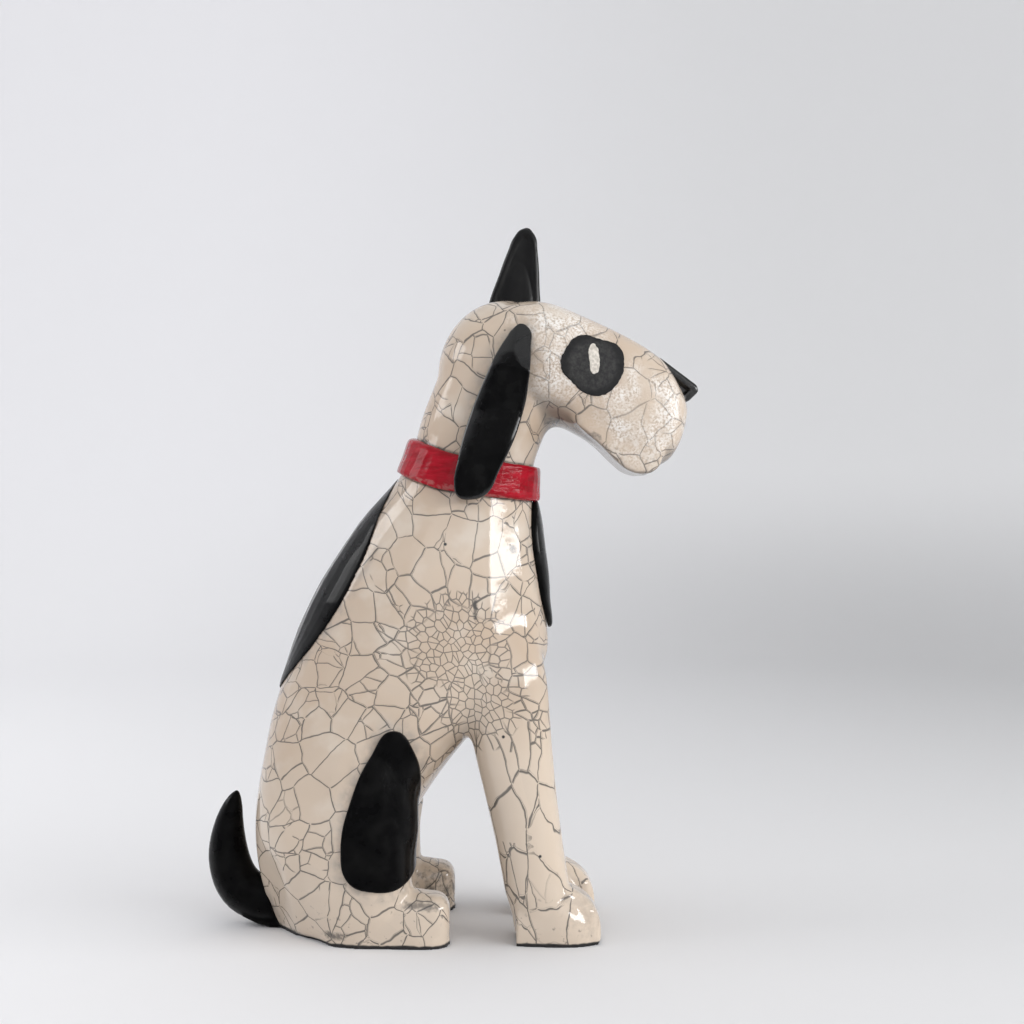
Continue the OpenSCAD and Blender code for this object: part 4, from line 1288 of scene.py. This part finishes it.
clay = smoked_clay("smoked_clay", shine=0.04, smooth=0.25, polish=0.35)
ear_clay = smoked_clay("polished_clay", shine=0.05, smooth=0.2, polish=1, turn=(0.03, 0.16))
crest_clay = smoked_clay("rubbed_clay", shine=0.18, smooth=0.3, polish=0.2, turn=(0.02, 0.3))
nose_clay = smoked_clay("burnished_clay", shine=0.6, smooth=0.2, polish=0)

# %% [markdown]
# Eye slip and slit
#
# The eye is a slip in dark grey, brushed on and quite dull, darkest along its rim. The slit shows the cream
# of the glaze, a little uneven. Noise at the size of brush hairs drives colour, gloss and relief together.

# %% Eye slip and slit glaze
slip_dark, slip_grey = (0.022, 0.022, 0.023, 1), (0.055, 0.054, 0.052, 1)
slip_rim = (0.01, 0.01, 0.011, 1)
eye_middle = (68.5 * mm, 0, 276.8 * mm)
slit_dull, slit_light = (0.5, 0.46, 0.4, 1), (0.74, 0.69, 0.62, 1)


def eye_slip():
    """Dark grey brushed slip, darkest along the rim."""
    material, tree, shader, place = new_finish("eye_slip")
    brush = grain(tree, place, 2.2 * mm, 4, 0.65)
    colour = blend(tree, ramp(tree, brush, 0.3, 0.75), slip_dark, slip_grey)
    parts = split(tree, place)
    flat = combine(tree, X=parts["X"], Z=parts["Z"])
    rim = ramp(tree, vectors(tree, "DISTANCE", flat, eye_middle), 10 * mm, 14 * mm)
    colour = blend(tree, times(tree, rim, 0.75), colour, slip_rim)
    feed(tree, shader.inputs["Base Color"], colour)
    feed(tree, shader.inputs["Roughness"], ramp(tree, brush, 0.2, 0.8, 0.5, 0.75))
    shader.inputs["Specular IOR Level"].default_value = 0.15
    relief_on(tree, shader, brush, strength=0.5, depth=0.5 * mm)
    return material


def slit_glaze():
    """The cream of the glaze where the slip leaves a slit open."""
    material, tree, shader, place = new_finish("slit_glaze")
    brush = grain(tree, place, 1.4 * mm, 3)
    colour = blend(tree, ramp(tree, brush, 0.35, 0.7), slit_dull, slit_light)
    feed(tree, shader.inputs["Base Color"], colour)
    feed(tree, shader.inputs["Roughness"], ramp(tree, brush, 0.2, 0.8, 0.25, 0.5))
    relief_on(tree, shader, brush, strength=0.4, depth=0.4 * mm)
    return material


slip = eye_slip()
slit = slit_glaze()
print("finishes:", slip.name, slit.name)

# %% [markdown]
# Red glaze
#
# The collar's glaze is a deep red that shows the strokes of the brush round the neck, cloudy in places, and
# thin and pale on the rims. Stretched noise, tilted about as the collar is, gives the strokes, and the
# distance from the collar's middle plane finds the rims.

# %% Red glaze
deep_red, bright_red = (0.24, 0.002, 0.008, 1), (0.38, 0.004, 0.016, 1)
cloudy_red = (0.45, 0.04, 0.05, 1)
worn_pink = (0.5, 0.36, 0.32, 1)
stroke_tilt = math.radians(20)
stroke_scale = (0.25, 0.25, 1)


def red_glaze():
    """Brushed red glaze, worn pale on the rims."""
    material, tree, shader, place = new_finish("red_glaze")
    turned = {"Vector": place, "Rotation": (0, stroke_tilt, 0), "Scale": stroke_scale}
    streak = grain(tree, add(tree, "Mapping", turned).outputs[0], 2.4 * mm, 4, 0.6)
    patch = grain(tree, place, 7 * mm)
    colour = blend(tree, ramp(tree, streak, 0.3, 0.7), deep_red, bright_red)
    colour = blend(tree, ramp(tree, patch, 0.64, 0.8, 0, 0.3), colour, cloudy_red)
    lift = vectors(tree, "DOT_PRODUCT", vectors(tree, "SUBTRACT", place, collar_middle), seam_normal)
    rim = ramp(tree, sums(tree, "ABSOLUTE", lift), 9 * mm, 9.6 * mm)
    worn = times(tree, rim, ramp(tree, grain(tree, place, 3 * mm, 3), 0.42, 0.6))
    colour = blend(tree, times(tree, worn, 0.22), colour, worn_pink)
    shader.inputs["Specular IOR Level"].default_value = 0.18
    feed(tree, shader.inputs["Base Color"], colour)
    feed(tree, shader.inputs["Roughness"], ramp(tree, streak, 0.3, 0.8, 0.08, 0.2))
    height = sums(tree, "ADD", streak, times(tree, patch, 0.8))
    relief_on(tree, shader, height, strength=0.45, depth=0.8 * mm)
    return material


red = red_glaze()
print("finish:", red.name, len(red.node_tree.nodes), "nodes")

# %% [markdown]
# Set every piece on the construction
#
# Nothing on the dog moves, so every piece rides on the one body of the construction. Each new piece takes the
# place of the construction pieces that it stands for, which are hidden.

# %% Set the pieces
def set_piece(piece, material, slot, *nodes):
    """Gives a piece its finish and its place on the construction."""
    pick(piece)
    bpy.ops.object.shade_smooth()
    piece.data.materials.clear()
    piece.data.materials.append(material)
    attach(piece, "root")
    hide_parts(*nodes)


set_piece(body, glaze, "crackle_glaze", "torso", *legs)
set_piece(head, glaze, "crackle_glaze", "head")
set_piece(right_ear, ear_clay, "smoked_clay", "hanging_ear")
set_piece(left_ear, crest_clay, "smoked_clay", "upright_ear")
set_piece(tail, clay, "smoked_clay", "tail")
set_piece(saddle, clay, "smoked_clay", "saddle_pad")
set_piece(bib, clay, "smoked_clay", "chest_pad")
set_piece(thigh_patch, clay, "smoked_clay", "thigh_pad")
set_piece(nose, nose_clay, "smoked_clay", "nose")
set_piece(collar, red, "red_glaze", "collar")
for side, eye, glint in zip(("right", "left"), eyes, glints):
    set_piece(eye, slip, "dark_slip", side + "_eye")
    set_piece(glint, slit, "crackle_glaze", side + "_eye_glint")

# %% [markdown]
# The studio
#
# The dog stands on pale paper that runs up into a wall with no edge. A flat floor and a wall would show their
# corner in views from the side. So the paper is a round bowl: a wide cylinder without its lid, with the edge
# of its floor bevelled into one large curve.

# %% Bowl-shaped backdrop
bowl_radius = 2.6
bowl_height = 2.4
bowl_curve = 1.2

deselect()
bpy.ops.mesh.primitive_cylinder_add(
    vertices=128, radius=bowl_radius, depth=bowl_height, location=(0, 0, bowl_height / 2)
)
bowl = bpy.context.active_object
bowl.name = "backdrop"
bpy.ops.object.transform_apply(location=True)
with editing(bowl):
    bpy.ops.mesh.select_all(action="DESELECT")
    select_faces(bowl, lambda face: face.center.z > bowl_height * 0.99)
    bpy.ops.mesh.delete(type="FACE")
    bpy.ops.object.mode_set(mode="OBJECT")
    for edge in bowl.data.edges:
        edge.select = all(bowl.data.vertices[i].co.z < mm for i in edge.vertices)
    bpy.ops.object.mode_set(mode="EDIT")
    bpy.ops.mesh.select_mode(type="EDGE")
    bpy.ops.mesh.bevel(offset=bowl_curve, segments=24, profile=0.5)
    bpy.ops.mesh.select_all(action="SELECT")
    bpy.ops.mesh.flip_normals()
pick(bowl)
bpy.ops.object.shade_smooth()
print("backdrop:", len(bowl.data.polygons), "faces")

# %% Paper
floor_painted_shade, floor_painted_light = (0.6, 0.6, 0.605, 1), (0.97, 0.965, 0.98, 1)
wall_painted_shade, wall_painted_light = (0.84, 0.84, 0.845, 1), (0.98, 0.975, 0.995, 1)


def paper():
    """Pale matt paper with painted light and shade: lighter on the wall than on the floor, and lighter
    towards the dog's tail side than ahead of it.
    """
    material, tree, shader, place = new_finish("backdrop_paper")
    parts = split(tree, place)
    # Painted light and shade: the paper darkens ahead of the dog and from wall to floor.
    bright = ramp(tree, parts["X"], 0.7, -0.7)
    floor = blend(tree, bright, floor_painted_shade, floor_painted_light)
    wall = blend(tree, bright, wall_painted_shade, wall_painted_light)
    feed(tree, shader.inputs["Base Color"], blend(tree, ramp(tree, parts["Z"], 0, 0.3), floor, wall))
    shader.inputs["Roughness"].default_value = 0.9
    return material


bowl.data.materials.append(paper())
print("backdrop of", bowl.data.materials[0].name)

# %% [markdown]
# The light
#
# The highlights in the photograph tell where its light comes from: a long bright band on chest and neck from
# a window ahead of the dog, a smaller one from behind it, and a soft glow from the front. Area lamps give
# each its shape, and an even pale sky fills the shadows.

# %% Lamps and sky
dog_chest = Vector((0, 0, 0.18))
sky_colour = (0.98, 0.99, 1, 1)
sky_strength = 0.77


def softbox(called, place, size, radiance):
    """A soft lamp that looks at the dog's chest, as bright per area as asked."""
    bpy.ops.object.light_add(type="AREA", location=place)
    lamp = bpy.context.active_object
    lamp.name = called
    lamp.data.shape = "RECTANGLE"
    lamp.data.size, lamp.data.size_y = size
    lamp.data.energy = radiance * math.pi * size[0] * size[1]
    aim = dog_chest - Vector(place)
    lamp.rotation_euler = aim.to_track_quat("-Z", "Y").to_euler()
    lamp.visible_camera = False
    print("lamp:", called, round(lamp.data.energy, 2), "W")


softbox("left_softbox", place=(-1.3, -0.1, 0.95), size=(0.75, 0.5), radiance=3.6)
softbox("right_softbox", place=(1.15, -0.5, 0.46), size=(1.3, 0.21), radiance=12)
softbox("front_softbox", place=(0.5, -1.6, 0.9), size=(2, 0.9), radiance=0.72)

world = bpy.data.worlds.new("sky")
bpy.context.scene.world = world
world.use_nodes = True
world.node_tree.nodes["Background"].inputs["Color"].default_value = sky_colour
world.node_tree.nodes["Background"].inputs["Strength"].default_value = sky_strength
